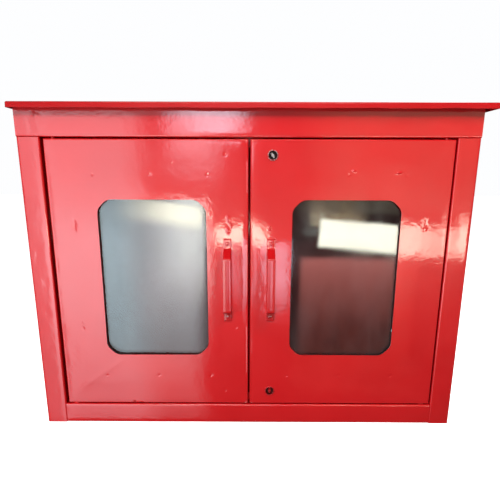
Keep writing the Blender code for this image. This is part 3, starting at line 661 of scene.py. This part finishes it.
def pane():
    """Clear float glass with a thin film of dust and wiped smears."""
    made = Nodes("window_glass")
    smears = made.noise(11.0, 5.0, 0.6, stretch=(1.5, 1.0, 0.6))
    steep = made.add("Math", made.add("LayerWeight", 0.5).outputs["Facing"], 5.0)
    steep.operation = "POWER"
    mirror = made.add("MapRange", steep, To_Min=0.063)
    clear = made.ramp(smears, (0.3, (0.66, 0.70, 0.72)), (0.7, (0.74, 0.78, 0.80)))
    ripple = made.bump(made.noise(6.0, 1.0), 0.00040)
    gloss = made.add("BsdfGlossy", Roughness=made.ramp(smears, (0.35, 0.03), (0.80, 0.11)), Normal=ripple)
    dust = made.ramp(smears, (0.3, (0.50, 0.54, 0.55)), (0.7, (0.66, 0.68, 0.68)))
    film = made.ramp(smears, (0.35, 0.006), (0.75, 0.034))
    clean = made.add("MixShader", mirror, made.add("BsdfTransparent", clear), gloss)
    made.surface(made.add("MixShader", film, clean, made.add("BsdfDiffuse", dust)))
    return made.material


# ---------------------------------------------------------------- carcass


def extruded(profile, axis, low, high, spacing):
    """A closed strip outline extruded along an axis, divided along its length."""
    count = max(1, round((high - low) / spacing))
    mesh = bmesh.new()
    rings = [placed_ring(mesh, profile, axis, low + (high - low) * step / count) for step in range(count + 1)]
    join_rings(mesh, rings)
    for ring in (rings[0], rings[-1]):
        for index in range(len(profile) // 2 - 1):
            mesh.faces.new((ring[index], ring[index + 1], ring[-index - 2], ring[-index - 1]))
    return mesh


def press(mesh, shape_front, shape_wall=None):
    """Moves the carcass's front face in and out, and its walls, by the given shapes."""
    places = np.array([vert.co for vert in mesh.verts])
    weight = np.clip((FRONT + 0.0045 - places[:, 1]) / 0.0025, 0, 1)
    forward = weight * shape_front(places[:, 0], places[:, 2])
    sideways = shape_wall(*places.T) if shape_wall else np.zeros(len(places))
    for vert, y, x in zip(mesh.verts, forward, sideways):
        vert.co += Vector((x, -y, 0))


def frame_shape(xs, zs):
    """Long waves and small faults of the face frame."""
    total = waves(xs, zs, [(0.31, 0.9, 0.4, 0.00012), (0.17, -0.5, 2.1, 0.00007), (0.9, 0.23, 1.0, 0.00009)])
    spots = [
        (-364, 576, 1.2, 18, 4, 0.45), (-370, 564, 5, 12, 20, -0.4), (-366, 553, 4, 3, 0, 0.3),
        (356, 588, 3, 2.2, 0, 0.45), (330, 578, 20, 10, 0, 0.2), (-376, 290, 4, 6, 0, -0.25),
        (-370, 238, 2.4, 7, 10, 0.45), (-385, 350, 6, 20, 0, -0.2), (380, 400, 10, 50, 5, 0.25),
        (376, 150, 8, 40, 0, -0.2), (0, 585, 120, 20, 0, -0.2), (-100, 20, 120, 15, 0, 0.15),
    ]
    return total + swell(xs, zs, [spot(*given) for given in spots])


def folded(path, axis, low, high, spacing):
    """A carcass sheet folded along a path."""
    return extruded(strip_outline(path, BODY_SHEET, BODY_BEND - BODY_SHEET / 2, 7, 0.006), axis, low, high, spacing)


def end_cut(side, start, front, back, bottom, top):
    """A cutting box from x = start, on one side of the middle, out past the side sheet."""
    left, right = sorted((side * start, side * (HALF_WIDTH + PAST)))
    return (left, front, bottom), (right, back, top)


def side_panel(side_name, finish, inner):
    side = SIDES[side_name]
    node = f"{side_name}_side_panel"
    wall, stile, face = HALF_WIDTH - BODY_SHEET / 2, OPENING_HALF + BODY_SHEET / 2, FRONT + BODY_SHEET / 2
    path = [(wall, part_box(node)[1].y), (wall, face), (stile, face), (stile, FRONT + RETURN_DEPTH)]
    mesh = folded([(side * x, y) for x, y in path], "Z", 0.0, HEIGHT, 0.007)
    over, behind = OPENING_TOP - FIT, FRONT + RETURN_DEPTH + PAST
    within = sorted((side * (HALF_WIDTH - BODY_SHEET - FIT / 2), side * (OPENING_HALF - PAST)))
    mesh = without(mesh, [end_cut(side, OPENING_HALF - PAST, FRONT - PAST, FRONT + FOLD_DEPTH, over, HEIGHT + PAST)])
    mesh = without(mesh, [
        ((within[0], FRONT - PAST, over), (within[1], behind, HEIGHT + PAST)),
        ((within[0], FRONT + BODY_SHEET + FIT, -PAST), (within[1], behind, BODY_SHEET + FIT)),
    ])

    def wall_shape(xs, ys, zs):
        room = np.minimum(np.minimum(ys - FRONT - 0.004, BACK - 0.004 - ys), np.minimum(zs, HEIGHT - zs))
        edge = np.clip(room / 0.06, 0, 1) * (np.abs(xs) > HALF_WIDTH - 0.004)
        out = waves(ys, zs, [(0.34, 0.8, side, 0.00040), (0.6, 0.37, 1.3, 0.00030)]) - 0.0006
        return side * out * edge

    press(mesh, frame_shape, wall_shape)
    shown(f"{side_name}_side_sheet", mesh, finish, "cabinet", [node], inner=inner)


def upright_hole(node, z, radius):
    """A hole, as without takes it, round an upright node at a height."""
    low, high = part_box(node)
    return ((low.x + high.x) / 2, (low.y + high.y) / 2, z), radius


def rail_holes(level, z):
    """The pivot pins' and the slide bolt's holes in a rail's fold."""
    pins = [upright_hole(f"{side_name}_{level}_pivot_pin", z, PIVOT_HOLE_RADIUS) for side_name in SIDES]
    return [*pins, upright_hole(f"{level}_bolt_rod", z, BOLT_HOLE_RADIUS)]


def rail_sheet(name, finish, inner):
    """The top or bottom sheet, folded into a rail and back at the opening, with the doors' stop behind it."""
    node = f"{name}_panel"
    low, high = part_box(node)
    level, way, outer, edge = ("upper", 1, HEIGHT, OPENING_TOP) if name == "top" else ("lower", -1, 0.0, OPENING_BOTTOM)
    face, flat, fold = FRONT + BODY_SHEET / 2, outer - way * BODY_SHEET / 2, edge + way * BODY_SHEET / 2
    path = [(high.y, flat), (face, flat), (face, fold), (FRONT + RETURN_DEPTH, fold)]
    mesh = folded(path, "X", low.x, high.x, 0.006)
    if name == "top":
        wall = HALF_WIDTH - BODY_SHEET - FIT
        cuts = [[end_cut(side, wall, FRONT + 0.0035, BACK + PAST, edge - PAST, HEIGHT + PAST) for side in (-1, 1)]]
    else:
        spans = [(FRONT + FOLD_DEPTH, -PAST), (FRONT + RETURN_DEPTH + PAST, 2 * BODY_SHEET)]
        cuts = [
            [end_cut(side, OPENING_HALF - FIT, FRONT - PAST, back, bottom, edge + PAST) for side in (-1, 1)]
            for back, bottom in spans
        ]
    holes = rail_holes(level, edge)
    for boxes in cuts:
        mesh = without(mesh, boxes, holes)
        holes = []
    front = FRONT + STOP_BEHIND
    middle = (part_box("left_door_panel")[1].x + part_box("right_door_panel")[0].x) / 2
    bottom, top = sorted((edge - way * STOP_DEPTH, fold))
    add_box(mesh, (middle - STOP_HALF, front, bottom), (middle + STOP_HALF, front + BODY_SHEET, top))
    press(mesh, frame_shape)
    shown(f"{name}_sheet", mesh, finish, "cabinet", [node], inner=inner)


def back_sheet(finish, inner):
    box = (-HALF_WIDTH, HALF_WIDTH, 0.0, HEIGHT)
    holes = [circle((side * WALL_HOLE_X, z), WALL_HOLE_RADIUS, 32) for side in (-1, 1) for z in WALL_HOLE_Z]

    def shape(xs, zs):
        edge = np.clip(edge_distance(xs, zs, box) / 0.08, 0, 1)
        return -edge * (0.0008 + waves(xs, zs, [(0.5, 1.4, 0.3, 0.0004), (0.9, -0.33, 1.1, 0.0003)]))

    mesh = build_pan(
        box, 0.0, BODY_SHEET, 0.0001, holes, 0.012, [], shape, lambda x, z, down: (x, BACK - down, z), 0.0004
    )
    shown("back_sheet", mesh, finish, "cabinet", ["back_panel"], inner=inner)


def roof(finish):
    """The roof cover: a pan whose back fold is cut away, and whose front lip leans and sags a little."""
    low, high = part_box("roof_cover")
    box = (low.x, high.x, low.y, high.y + 2 * PAST)

    def shape(xs, ys):
        edge = np.clip(edge_distance(xs, ys, box) / 0.05, 0, 1)
        return -edge * (0.0007 + waves(xs, ys, [(0.42, 1.1, 0.2, 0.0004), (1.3, 0.5, 0.9, 0.0003)])) * 0.7

    mesh = build_pan(
        box, high.z - low.z, ROOF_SHEET, ROOF_BEND, [], 0.008, [], shape,
        lambda x, y, down: (x, y, high.z - down), 0.0010,
    )
    mesh = without(mesh, [((low.x - PAST, high.y, low.z - PAST), (high.x + PAST, high.y + 3 * PAST, high.z + PAST))])
    for vert in mesh.verts:
        x, y, z = vert.co
        if y < low.y + 0.004:
            vert.co.y += ROOF_LEAN * (z - low.z)
            sag = waves(np.array([x]), np.array([0.0]), [(0.47, 1.0, 0.6, 0.00030), (0.19, 1.0, 2.0, 0.00014)])[0]
            vert.co.y += abs(float(sag))
            if z < high.z - 0.004:
                vert.co.z += 0.00035 * math.sin(x * 41) + 0.0002 * math.sin(x * 97)
                vert.co.z = max(vert.co.z, low.z)
    shown("roof_sheet", mesh, finish, "cabinet", ["roof_cover"])


# ---------------------------------------------------------------- doors


def stud_places(side_name):
    left, right, bottom, top = window_box(side_name)
    middle = (left + right) / 2
    levels = (bottom - STUD_MARGIN, top + STUD_MARGIN)
    return [(middle + step * STUD_SPACING, z) for z in levels for step in (-1, 0, 1)]


def door_faults(side_name):
    """Weld marks and dents of a door's face, as swell takes them, and where its grid is fine: (x, z, reach)."""
    spots = []
    for index, (x, z) in enumerate(stud_places(side_name)):
        size = 0.0026 + 0.0005 * ((index * 7) % 3)
        spots.append((x, z, size, size * 0.8, math.radians(25 * index), -0.00034))
        spots.append((x + 0.0012, z - 0.0030, 0.0024, 0.0009, math.radians(30), 0.00014))
    if side_name == "left":
        faults = [
            (-312.1, 396.1, 4, 9.5, 5, -0.6), (-308.8, 390, 2, 5, 12, 0.22),
            (-312.9, 199.8, 2.6, 4.2, 15, -0.32), (-311.8, 212, 1.8, 1.8, 0, 0.25),
            (-40.8, 520.8, 2.8, 2.6, 0, -0.45), (-44.7, 69.9, 2.6, 2.2, 0, -0.28),
            (-133, 508, 1.4, 1.4, 0, 0.22), (-36.5, 409, 2.4, 5.2, 10, 1.1), (-36.8, 388, 2.8, 4.4, 20, 1.3),
            (-31, 395, 1.6, 2.6, 0, 0.6), (-33, 400, 1.6, 2, 0, 0.5), (-22, 202, 2.2, 2.2, 0, -0.3),
            (-245, 133, 6, 3, 36, 0.1),
        ]
    else:
        faults = [
            (184, 493.8, 3.4, 1.5, -25, 1.3), (262.6, 490.6, 4.6, 1.5, 8, 1.4), (316.7, 399, 3.6, 8, -6, -0.5),
            (315.2, 401, 1.3, 3, 0, 0.5), (317.2, 393.5, 1.2, 2.2, 15, 0.45), (316, 406, 1.3, 1.6, 0, 0.4),
            (318.8, 390.5, 1.5, 2, 30, 0.45), (314, 392, 1.2, 1.4, 0, 0.35), (38.2, 390.2, 2, 2, 0, 1.4),
            (38.2, 395.2, 1.8, 1.8, 0, 1.3), (330, 505, 60, 9, 48, 0.2),
        ]
    spots += [spot(*fault) for fault in faults]
    fine = [(x, z, max(across, up) * 2.2 + 0.002) for x, z, across, up, _, height in spots if abs(height) > 0.0002]
    return spots, [(x, z, min(reach, 0.020)) for x, z, reach in fine if reach < 0.05]


EDGE_ROLL = 0.0140  # how far from the meeting edge a door's face starts to roll back
CREASE = ((-0.245, 0.133), (-0.327, 0.074))  # from the left door's window to its outer lower corner


def door_shape(side_name, box):
    """How far a door's face stands out: oil-canning, rolled edges, a crease, weld marks and dents."""
    spots, _ = door_faults(side_name)
    side = SIDES[side_name]

    def shape(xs, zs):
        inset = edge_distance(xs, zs, box)
        soft = np.clip(inset / 0.045, 0, 1) ** 1.5
        long = [(0.36, 1.3, 0.5 * side, 0.00042), (0.75, 0.33, 1.7, 0.00036), (0.21, -0.62, 0.9 + side, 0.00018)]
        total = soft * waves(xs, zs, long)
        total += swell(xs, zs, spots)
        meeting = np.abs(xs - (box[1] if side < 0 else box[0]))
        depth = 0.00050 + 0.00016 * np.sin(zs * 38 + side) + 0.00010 * np.sin(zs * 87)
        total -= depth * np.clip(1 - meeting / EDGE_ROLL, 0, 1) ** 2
        total -= 0.00022 * np.clip(1 - inset / 0.010, 0, 1) ** 2
        if side < 0:
            (x, z), end = CREASE
            along = np.array((end[0] - x, end[1] - z))
            length = np.linalg.norm(along)
            u = ((xs - x) * along[0] + (zs - z) * along[1]) / length
            v = (-(xs - x) * along[1] + (zs - z) * along[0]) / length
            fade = np.clip(u / 0.02 + 0.4, 0, 1) * np.clip((length - u) / 0.03 + 0.3, 0, 1)
            total += fade * 0.00042 * np.exp(-np.abs(v) / 0.0055)
        return total

    return shape


def door_panel(side_name, finish, inner):
    low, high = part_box(f"{side_name}_door_panel")
    box = (low.x, high.x, low.z, high.z)
    holes = [divided(window_outline(side_name), 0.0035)]
    if side_name == "right":
        holes += [circle(lock_centre(level), LOCK_SHAFT + FIT, 32) for level in LEVELS]
    _, fine = door_faults(side_name)
    mesh = build_pan(
        box, high.y - low.y, DOOR_SHEET, DOOR_BEND, holes, 0.0040, fine, door_shape(side_name, box),
        lambda x, z, down: (x, low.y + down, z), 0.0010,
    )
    if side_name == "left":
        edges = (("upper", high.z), ("lower", low.z))
        mesh = without(mesh, [], [upright_hole(f"{level}_bolt_rod", z, BOLT_HOLE_RADIUS) for level, z in edges])
    for x, z in stud_places(side_name):
        add_prism(mesh, circle((x, z), STUD_RADIUS, 20), "Y", low.y + DOOR_SHEET * 0.6, low.y + STUD_LENGTH)
    pane_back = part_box(f"{side_name}_window_glass")[1].y
    sheet = RETAINER_SHEET
    left, right, bottom, top = window_box(side_name)
    margin = GLASS_MARGIN + 3 * FIT + 1.5 * sheet
    foot, hook = low.y + DOOR_SHEET + sheet / 2 - FIT, pane_back + 2 * FIT + 1.5 * sheet
    path = [(TAB_MARGIN + 0.006, foot), (margin, foot), (margin, hook), (margin - 0.006, hook)]
    outline = strip_outline(path, sheet, sheet * 0.8, 4)
    for edge, way in ((left, -1), (right, 1)):
        placed = [(edge + way * u, y) for u, y in outline]
        for step in (-0.5, 0.5):
            z = (bottom + top) / 2 + step * TAB_SPACING
            add_prism(mesh, placed, "Z", z - TAB_WIDTH / 2, z + TAB_WIDTH / 2)
    node = f"{side_name}_door_panel"
    shown(f"{side_name}_door_sheet", mesh, finish, f"{side_name}_door", [node], inner=inner)


def arc_profile(centre, across, up, start, end, count):
    """Points of (radius, y) round a centre, between two angles from straight ahead."""
    angles = np.linspace(start, end, count)
    return [(centre[0] + across * math.sin(angle), centre[1] - up * math.cos(angle)) for angle in angles]


def handle(side_name, finish):
    """The strap, with its square edges broken, and its two rivets."""
    low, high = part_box(f"{side_name}_handle")
    seat, out = high.y - HANDLE_SHEET / 2, low.y + HANDLE_SHEET / 2
    middle = (low.z + high.z) / 2
    path = [
        (seat, high.z), (seat, high.z - HANDLE_FOOT - HANDLE_LEAN / 3), (out, middle + HANDLE_GRIP / 2 - HANDLE_LEAN),
        (out, middle - HANDLE_GRIP / 2 - HANDLE_LEAN / 5), (seat, low.z + HANDLE_FOOT), (seat, low.z),
    ]
    x = (low.x + high.x) / 2
    half, thick = (high.x - low.x) / 2, HANDLE_SHEET / 2
    corners = [(-half, -thick), (half, -thick), (half, thick), (-half, thick)]
    section = rounded_outline(corners, HANDLE_EDGE, 4)
    stations = stations_along(path, HANDLE_BEND, 8, 0.003)
    mesh = bmesh.new()

    def ring(point, along, shrink):
        normal = Vector((-along.y, along.x))
        made = []
        for u, v in section:
            u -= math.copysign(min(abs(u), shrink), u)
            v -= math.copysign(min(abs(v), shrink), v)
            made.append(mesh.verts.new((x + u, point.x + normal.x * v, point.y + normal.y * v)))
        return made

    first, last = stations[0], stations[-1]
    rings = [ring(*first, HANDLE_EDGE), ring(first[0] + first[1] * HANDLE_EDGE, first[1], 0)]
    rings += [ring(*station, 0) for station in stations[1:-1]]
    rings += [ring(last[0] - last[1] * HANDLE_EDGE, last[1], 0), ring(*last, HANDLE_EDGE)]
    join_rings(mesh, rings)
    mesh.faces.new(rings[0])
    mesh.faces.new(rings[-1])
    body = f"{side_name}_door"
    shown(f"{side_name}_handle_strap", mesh, finish, body, [f"{side_name}_handle"], sharp=50)
    seat = high.y - HANDLE_SHEET - FIT
    for level in LEVELS:
        node = f"{side_name}_handle_{level}_rivet"
        low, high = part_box(node)
        tail = high.y - RIVET_TAIL
        profile = [
            *arc_profile((0.0, seat), RIVET_HEAD, RIVET_DOME, 0, math.pi / 2, 7), (RIVET_RADIUS, seat),
            (RIVET_RADIUS, tail), (RIVET_HEAD, tail), (RIVET_HEAD - 0.0002, high.y), (0.0, high.y),
        ]
        mesh = bmesh.new()
        add_turned(mesh, profile, ((low.x + high.x) / 2, (low.z + high.z) / 2), 32)
        shown(f"{side_name}_{level}_rivet", mesh, finish, body, [node])


# ---------------------------------------------------------------- locks


def lock_centre(level):
    low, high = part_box(f"{level}_lock_body")
    return (low.x + high.x) / 2, (low.z + high.z) / 2


def lock(level, rim_finish, recess_finish):
    """The lock's body, with a rolled rim round the key recess."""
    low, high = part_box(f"{level}_lock_body")
    rim = (high.x - low.x) / 2
    face = low.y
    floor = face + LOCK_FLOOR
    profile = [
        *arc_profile((LOCK_RECESS + LOCK_LIP, face + LOCK_LIP), -LOCK_LIP, LOCK_LIP, math.pi / 2, 0, 5),
        *arc_profile((rim - LOCK_ROLL, face + LOCK_ROLL), LOCK_ROLL, LOCK_ROLL, 0, math.pi / 2, 6),
        (rim, FRONT - FIT), (LOCK_SHAFT, FRONT - FIT), (LOCK_SHAFT, high.y),
        (LOCK_PLUG + FIT, high.y), (LOCK_PLUG + FIT, floor), (LOCK_RECESS, floor),
    ]
    centre = lock_centre(level)
    mesh = bmesh.new()
    add_turned(mesh, profile, centre)

    # The key recess's faces get recess_finish, painted shade.
    def in_recess(polygon):
        x, y, z = polygon.calc_center_median()
        return y > face + LOCK_LIP and math.hypot(x - centre[0], z - centre[1]) < LOCK_RECESS

    shown(
        f"{level}_lock_shell", mesh, rim_finish, "right_door", [f"{level}_lock_body"],
        inner=recess_finish, within=in_recess,
    )


# ---------------------------------------------------------------- carried-over pieces


def dress(node, finish, bevel):
    """Gives a CAD node its finish and breaks its edges."""
    obj = NODES[node]
    obj.data.materials.clear()
    obj.data.materials.append(finish)
    if bevel:
        modifier = obj.modifiers.new("edges", "BEVEL")
        modifier.width = bevel
        modifier.segments = 2
        modifier.limit_method = "ANGLE"
        modifier.angle_limit = math.radians(40)
        modifier.harden_normals = True


def darken_plug(level, finish):
    """Leaves only the plug's winged post bright; the disc round it gets the recess's painted shade."""
    obj = NODES[f"{level}_lock_plug"]
    obj.data.materials.append(finish)
    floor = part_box(f"{level}_lock_body")[0].y + LOCK_FLOOR
    for polygon in obj.data.polygons:
        polygon.material_index = int(polygon.center.y > floor + FIT / 2)


# Pieces of each side and of each level: what follows "left_" or "upper_" in the node's name, its finish, its bevel
SIDE_PIECES = [
    ("window_glass", "glass", 0.0), ("window_gasket", "rubber", 0.0), ("glass_retainer", "zinc", 0.0),
    ("pivot_washer", "enamel", 0.0002), *((f"retainer_nut_{index}", "zinc", 0.0003) for index in range(1, 7)),
    *((f"{level}_pivot_pin", "enamel", 0.0003) for level in LEVELS),
    *((f"{level}_pivot_block", "enamel", 0.0004) for level in LEVELS),
]
LEVEL_PIECES = [
    ("lock_nut", "zinc", 0.0004), ("lock_cam", "zinc", 0.0003), ("lock_cam_screw", "zinc", 0.0002),
    ("bolt_guide", "zinc", 0.0003), ("bolt_rod", "zinc", 0.0004), ("bolt_knob", "zinc", 0.0003),
]


def dress_nodes(finishes):
    for names, pieces in ((SIDES, SIDE_PIECES), (LEVELS, LEVEL_PIECES)):
        for name in names:
            for piece, finish, bevel in pieces:
                dress(f"{name}_{piece}", finishes[finish], bevel)
    for level in LEVELS:
        dress(f"{level}_lock_plug", finishes[f"{level}_plug"], 0.0003)
        darken_plug(level, finishes[f"{level}_recess"])


# ---------------------------------------------------------------- studio


# Where the camera stands and how it is turned, in metres and radians
CAMERA_PLACE = (0.0044, -0.7952, 0.4877)
CAMERA_YAW = -0.0019
CAMERA_PITCH = -0.1989
CAMERA_ROLL = 0.0034
CAMERA_LENS = 27.07
BOARD_PLANE = -1.60  # y of the furthest of the boards behind the camera
BOARD_STEP = 0.01  # how much nearer each further board stands
FLOOR_REACH = 8.0


def lamp(name, place, target, size, power, colour, glossy=False):
    data = bpy.data.lights.new(name, "AREA")
    data.shape = "RECTANGLE"
    data.size, data.size_y = size
    data.energy = power
    data.color = colour
    obj = linked(name, data)
    obj.location = place
    obj.rotation_euler = (Vector(target) - Vector(place)).to_track_quat("-Z", "Y").to_euler()
    obj.visible_camera = False
    obj.visible_glossy = glossy


def plate(name, corners, material):
    mesh = bmesh.new()
    mesh.faces.new([mesh.verts.new(corner) for corner in corners])
    obj = linked(name, mesh)
    obj.data.materials.append(material)
    return obj


def board(name, region, level, colour, soft, tilt=0.0, profile=None, mottle=0.0, grain=5.0):
    """A glowing soft-edged board that only shows mirrored, in a region (left, right, bottom, top) of the doors' face.

    soft is the share of its size that fades out at its left, right, bottom and top. profile is its brightness
    up its height, and mottle how much of it is broken up by leaves and clutter.
    """
    mirrored = 2 * FRONT - CAMERA_PLACE[1]
    reach = (mirrored - BOARD_PLANE) / (mirrored - FRONT)
    left, right = (CAMERA_PLACE[0] + reach * (x - CAMERA_PLACE[0]) for x in region[:2])
    bottom, top = (CAMERA_PLACE[2] + reach * (z - CAMERA_PLACE[2]) for z in region[2:])
    made = Nodes(name)
    split = made.add("SeparateXYZ", made.coords)
    shares = []
    for axis, near, far in (("X", *soft[:2]), ("Z", *soft[2:])):
        for edge, share in ((-1.0, near), (1.0, far)):
            full = edge * (1.0 - 2.0 * share)
            fade = made.add("MapRange", split.outputs[axis], From_Min=edge, From_Max=full)
            fade.interpolation_type = "SMOOTHSTEP"
            shares.append(fade)
    if profile:
        shares.append(made.ramp(made.add("MapRange", split.outputs["Z"], From_Min=-1.0), *profile))
    if mottle:
        clutter = made.noise(grain, 4.0, 0.65, stretch=(1.0, 1.0, 0.6))
        shares.append(made.ramp(clutter, (0.36, 1 - mottle), (0.56, 1.0)))
    cover = shares[0]
    for share in shares[1:]:
        cover = made.add("Math", cover, share)
        cover.operation = "MULTIPLY"
    glow = made.add("Emission", (*colour, 1.0), level)
    made.surface(made.add("MixShader", cover, made.add("BsdfTransparent"), glow))
    obj = plate(name, [(-1, 0, -1), (1, 0, -1), (1, 0, 1), (-1, 0, 1)], made.material)
    nearer = BOARD_STEP * sum(1 for other in bpy.data.objects if other.get("board"))
    obj["board"] = True
    obj.location = ((left + right) / 2, BOARD_PLANE + nearer, (bottom + top) / 2)
    obj.scale = ((right - left) / 2, 1.0, (top - bottom) / 2)
    obj.rotation_euler = (0.0, math.radians(tilt), 0.0)
    obj.visible_camera = False
    obj.visible_diffuse = False
    obj.visible_transmission = False
    obj.visible_shadow = False


def surroundings():
    """White behind the piece, grey light round it, and a dim warm room in its gloss."""
    world = bpy.data.worlds.new("studio")
    bpy.context.scene.world = world
    world.use_nodes = True
    tree = world.node_tree
    plain = tree.nodes["Background"]
    plain.inputs["Color"].default_value = (1.0, 1.0, 1.0, 1.0)
    plain.inputs["Strength"].default_value = 0.20
    dim = add_node(tree, "Background", (1.0, 0.62, 0.52, 1.0), 0.14)
    backdrop = add_node(tree, "Background", (0.985, 0.990, 1.0, 1.0), 1.0)
    ray = add_node(tree, "LightPath").outputs
    lit = add_node(tree, "MixShader", ray["Is Glossy Ray"], plain, dim)
    seen = add_node(tree, "MixShader", ray["Is Camera Ray"], lit, backdrop)
    tree.links.new(seen.outputs[0], tree.nodes["World Output"].inputs["Surface"])


def studio():
    surroundings()
    made = Nodes("pale_floor")
    made.link(made.ramp(made.noise(0.7), (0.3, (0.86, 0.86, 0.865)), (0.7, (0.88, 0.88, 0.885))), "Base Color")
    made.set(Roughness=0.9, Emission_Color=(0.98, 0.99, 1.0, 1.0), Emission_Strength=0.95)
    ways = ((-1, -1), (1, -1), (1, 1), (-1, 1))
    floor = plate("floor", [(x * FLOOR_REACH, y * FLOOR_REACH, 0.0) for x, y in ways], made.material)
    floor.visible_glossy = False
    floor.visible_diffuse = False

    lamp("key", (-0.13, -1.70, 1.54), (0.0, 0.0, 0.38), (0.38, 0.38), 23.6, (1.0, 0.985, 0.97))
    lamp("top", (0.52, -0.75, 1.25), (0.3, -0.1, 0.52), (0.3, 0.3), 6.2, (1.0, 1.0, 1.0))
    lamp("side", (-1.20, -1.15, 0.10), (-0.2, 0.0, 0.0), (0.8, 0.8), 15.5, (0.96, 0.98, 1.0))
    lamp("behind", (0.8, 2.2, 2.0), (0.0, 0.1, 0.3), (2.0, 1.6), 26, (1.0, 1.0, 1.0), glossy=True)
    reflections()


COOL = (0.78, 0.93, 1.0)
LAVENDER = (0.86, 0.83, 1.0)
CREAM = (1.0, 0.93, 0.75)


def reflections():
    """What the gloss mirrors: an open bright side to the left, sunlit ground to the right, dim ruddy shade below."""
    edge = [(0.0, 0.42), (0.4, 0.45), (0.7, 0.62), (0.9, 0.90), (1.0, 1.0)]
    rise = [(0.0, 0.30), (0.10, 0.42), (0.25, 0.62), (0.45, 0.88), (0.62, 1.0), (0.74, 0.72), (0.85, 0.60), (1.0, 0.60)]
    low = [(0.0, 0.10), (0.25, 0.30), (0.45, 0.58), (0.7, 1.0), (1.0, 1.0)]
    glow = [(0.0, 0.25), (0.5, 0.40), (0.8, 0.65), (1.0, 1.0)]
    worn = [(0.0, 0.10), (0.5, 0.28), (0.8, 0.55), (1.0, 1.0)]
    # Name, region, level, colour, soft edges
    board("open_edge", (-0.480, -0.350, -0.02, 0.606), 3.3, COOL, (0.25, 0.05, 0.05, 0.03), profile=edge)
    board("open_left", (-0.372, -0.150, -0.02, 0.602), 6.1, COOL, (0.06, 0.35, 0.05, 0.03), profile=rise)
    board("open_low", (-0.250, -0.064, -0.02, 0.445), 5.6, (0.96, 0.94, 0.97), (0.50, 0.24, 0.05, 0.10), profile=low)
    board("pane_glow", (-0.190, -0.076, 0.215, 0.455), 8.6, (1.0, 0.97, 0.93), (0.75, 0.05, 0.65, 0.04), mottle=0.15)
    board("gap_light", (-0.250, -0.160, 0.440, 0.480), 4.0, COOL, (0.3, 0.4, 0.4, 0.5))
    board("bright_gap", (-0.165, 0.016, 0.535, 0.610), 13.5, (0.84, 0.85, 1.0), (0.55, 0.30, 0.4, 0.16), mottle=0.5)
    board("below_gap", (-0.165, -0.028, 0.455, 0.575), 5.0, (0.84, 0.90, 1.0), (0.4, 0.45, 0.7, 0.2), 14.0)
    board("shelf", (0.105, 0.215, 0.398, 0.450), 3.4, (1.0, 0.70, 0.38), (0.05, 0.3, 0.05, 0.2), mottle=0.7)
    board("sunlit_ground", (0.122, 0.450, 0.3465, 0.4025), 17.0, CREAM, (0.01, 0.62, 0.10, 0.10), 4.5, mottle=0.15)
    board("sunlit_edge", (0.342, 0.425, 0.332, 0.440), 19.0, CREAM, (0.3, 0.1, 0.3, 0.5), mottle=0.5, grain=9.0)
    board("haze_left", (-0.062, 0.004, 0.235, 0.385), 3.8, LAVENDER, (0.4, 0.2, 0.6, 0.1), mottle=0.3)
    board("haze_right", (0.012, 0.076, 0.216, 0.384), 7.8, LAVENDER, (0.15, 0.05, 0.6, 0.06), mottle=0.3)
    patch = (0.12, 0.16, 0.38, 0.38)
    board("sunlit_patch", (-0.072, 0.042, 0.362, 0.414), 27.0, CREAM, patch, mottle=0.9, grain=12.0)
    board("sunlit_streak", (-0.240, -0.075, 0.396, 0.446), 15.0, CREAM, (0.85, 0.03, 0.50, 0.15), 7.0)
    board("warm_sky", (0.060, 0.440, 0.415, 0.620), 1.0, (1.0, 0.85, 0.62), (0.25, 0.1, 0.1, 0.05), mottle=0.5)
    ruddy, dusk = (1.0, 0.20, 0.14), (0.05, 0.1, 0.1, 0.05)
    board("ground_glow", (0.085, 0.300, 0.100, 0.345), 2.2, ruddy, dusk, profile=glow, mottle=0.35)
    board("worn_ground", (0.085, 0.290, 0.200, 0.352), 5.0, (1.0, 0.29, 0.25), (0.05, 0.3, 0.6, 0.06), profile=worn)
    board("overhead", (-0.300, 0.300, 0.740, 0.960), 7.0, (1.0, 0.95, 0.86), (0.2, 0.2, 0.3, 0.3))


def camera():
    data = bpy.data.cameras.new("camera")
    data.sensor_width = 36.0
    data.lens = CAMERA_LENS
    data.clip_start = 0.01
    obj = linked("camera", data)
    pose = Matrix.Translation(CAMERA_PLACE)
    for angle, axis in ((-CAMERA_YAW, "Z"), (math.pi / 2 + CAMERA_PITCH, "X"), (CAMERA_ROLL, "Z")):
        pose = pose @ Matrix.Rotation(angle, 4, axis)
    obj.matrix_world = pose
    bpy.context.scene.camera = obj


def main():
    bpy.context.scene.view_settings.view_transform = "Standard"
    paint = enamel()
    # A darker, duller copy of the red enamel: painted shade on the interior and in the gaps round the doors.
    inside_shade_paint = enamel("shaded_inside_enamel", depth=0.42, gloss=0.5)
    # A darker, less glossy copy of the red enamel: painted shade on the handle straps, whose upward legs face the key
    # lamp.
    shaded_handle_paint = enamel("shaded_handle_enamel", depth=0.85, gloss=0.75)
    finishes = {
        "glass": pane(), "rubber": rubber(), "enamel": paint, "zinc": zinc_plate(),
        "upper_plug": chipped("bright_plug", 0.95), "lower_plug": chipped("painted_plug", 0.15),
        # The recess finishes are painted shade in the key recesses: near-black for the upper lock, and dark red under
        # the lower lock's paint.
        "upper_recess": recess_shade("black_recess_shade", (0.006, 0.004, 0.004)),
        "lower_recess": recess_shade("red_recess_shade", (0.060, 0.002, 0.002)),
    }
    for side_name in SIDES:
        side_panel(side_name, paint, inside_shade_paint)
        door_panel(side_name, paint, inside_shade_paint)
        handle(side_name, shaded_handle_paint)
    for name in ("top", "bottom"):
        rail_sheet(name, paint, inside_shade_paint)
    back_sheet(paint, inside_shade_paint)
    # A darker copy of the red enamel: painted shade on the roof cover and its lip.
    roof(enamel("shaded_roof_enamel", depth=0.76))
    lock("upper", chipped("worn_upper_lock", 0.50), finishes["upper_recess"])
    lock("lower", chipped("worn_lower_lock", 0.12), finishes["lower_recess"])
    dress_nodes(finishes)
    studio()
    camera()


main()
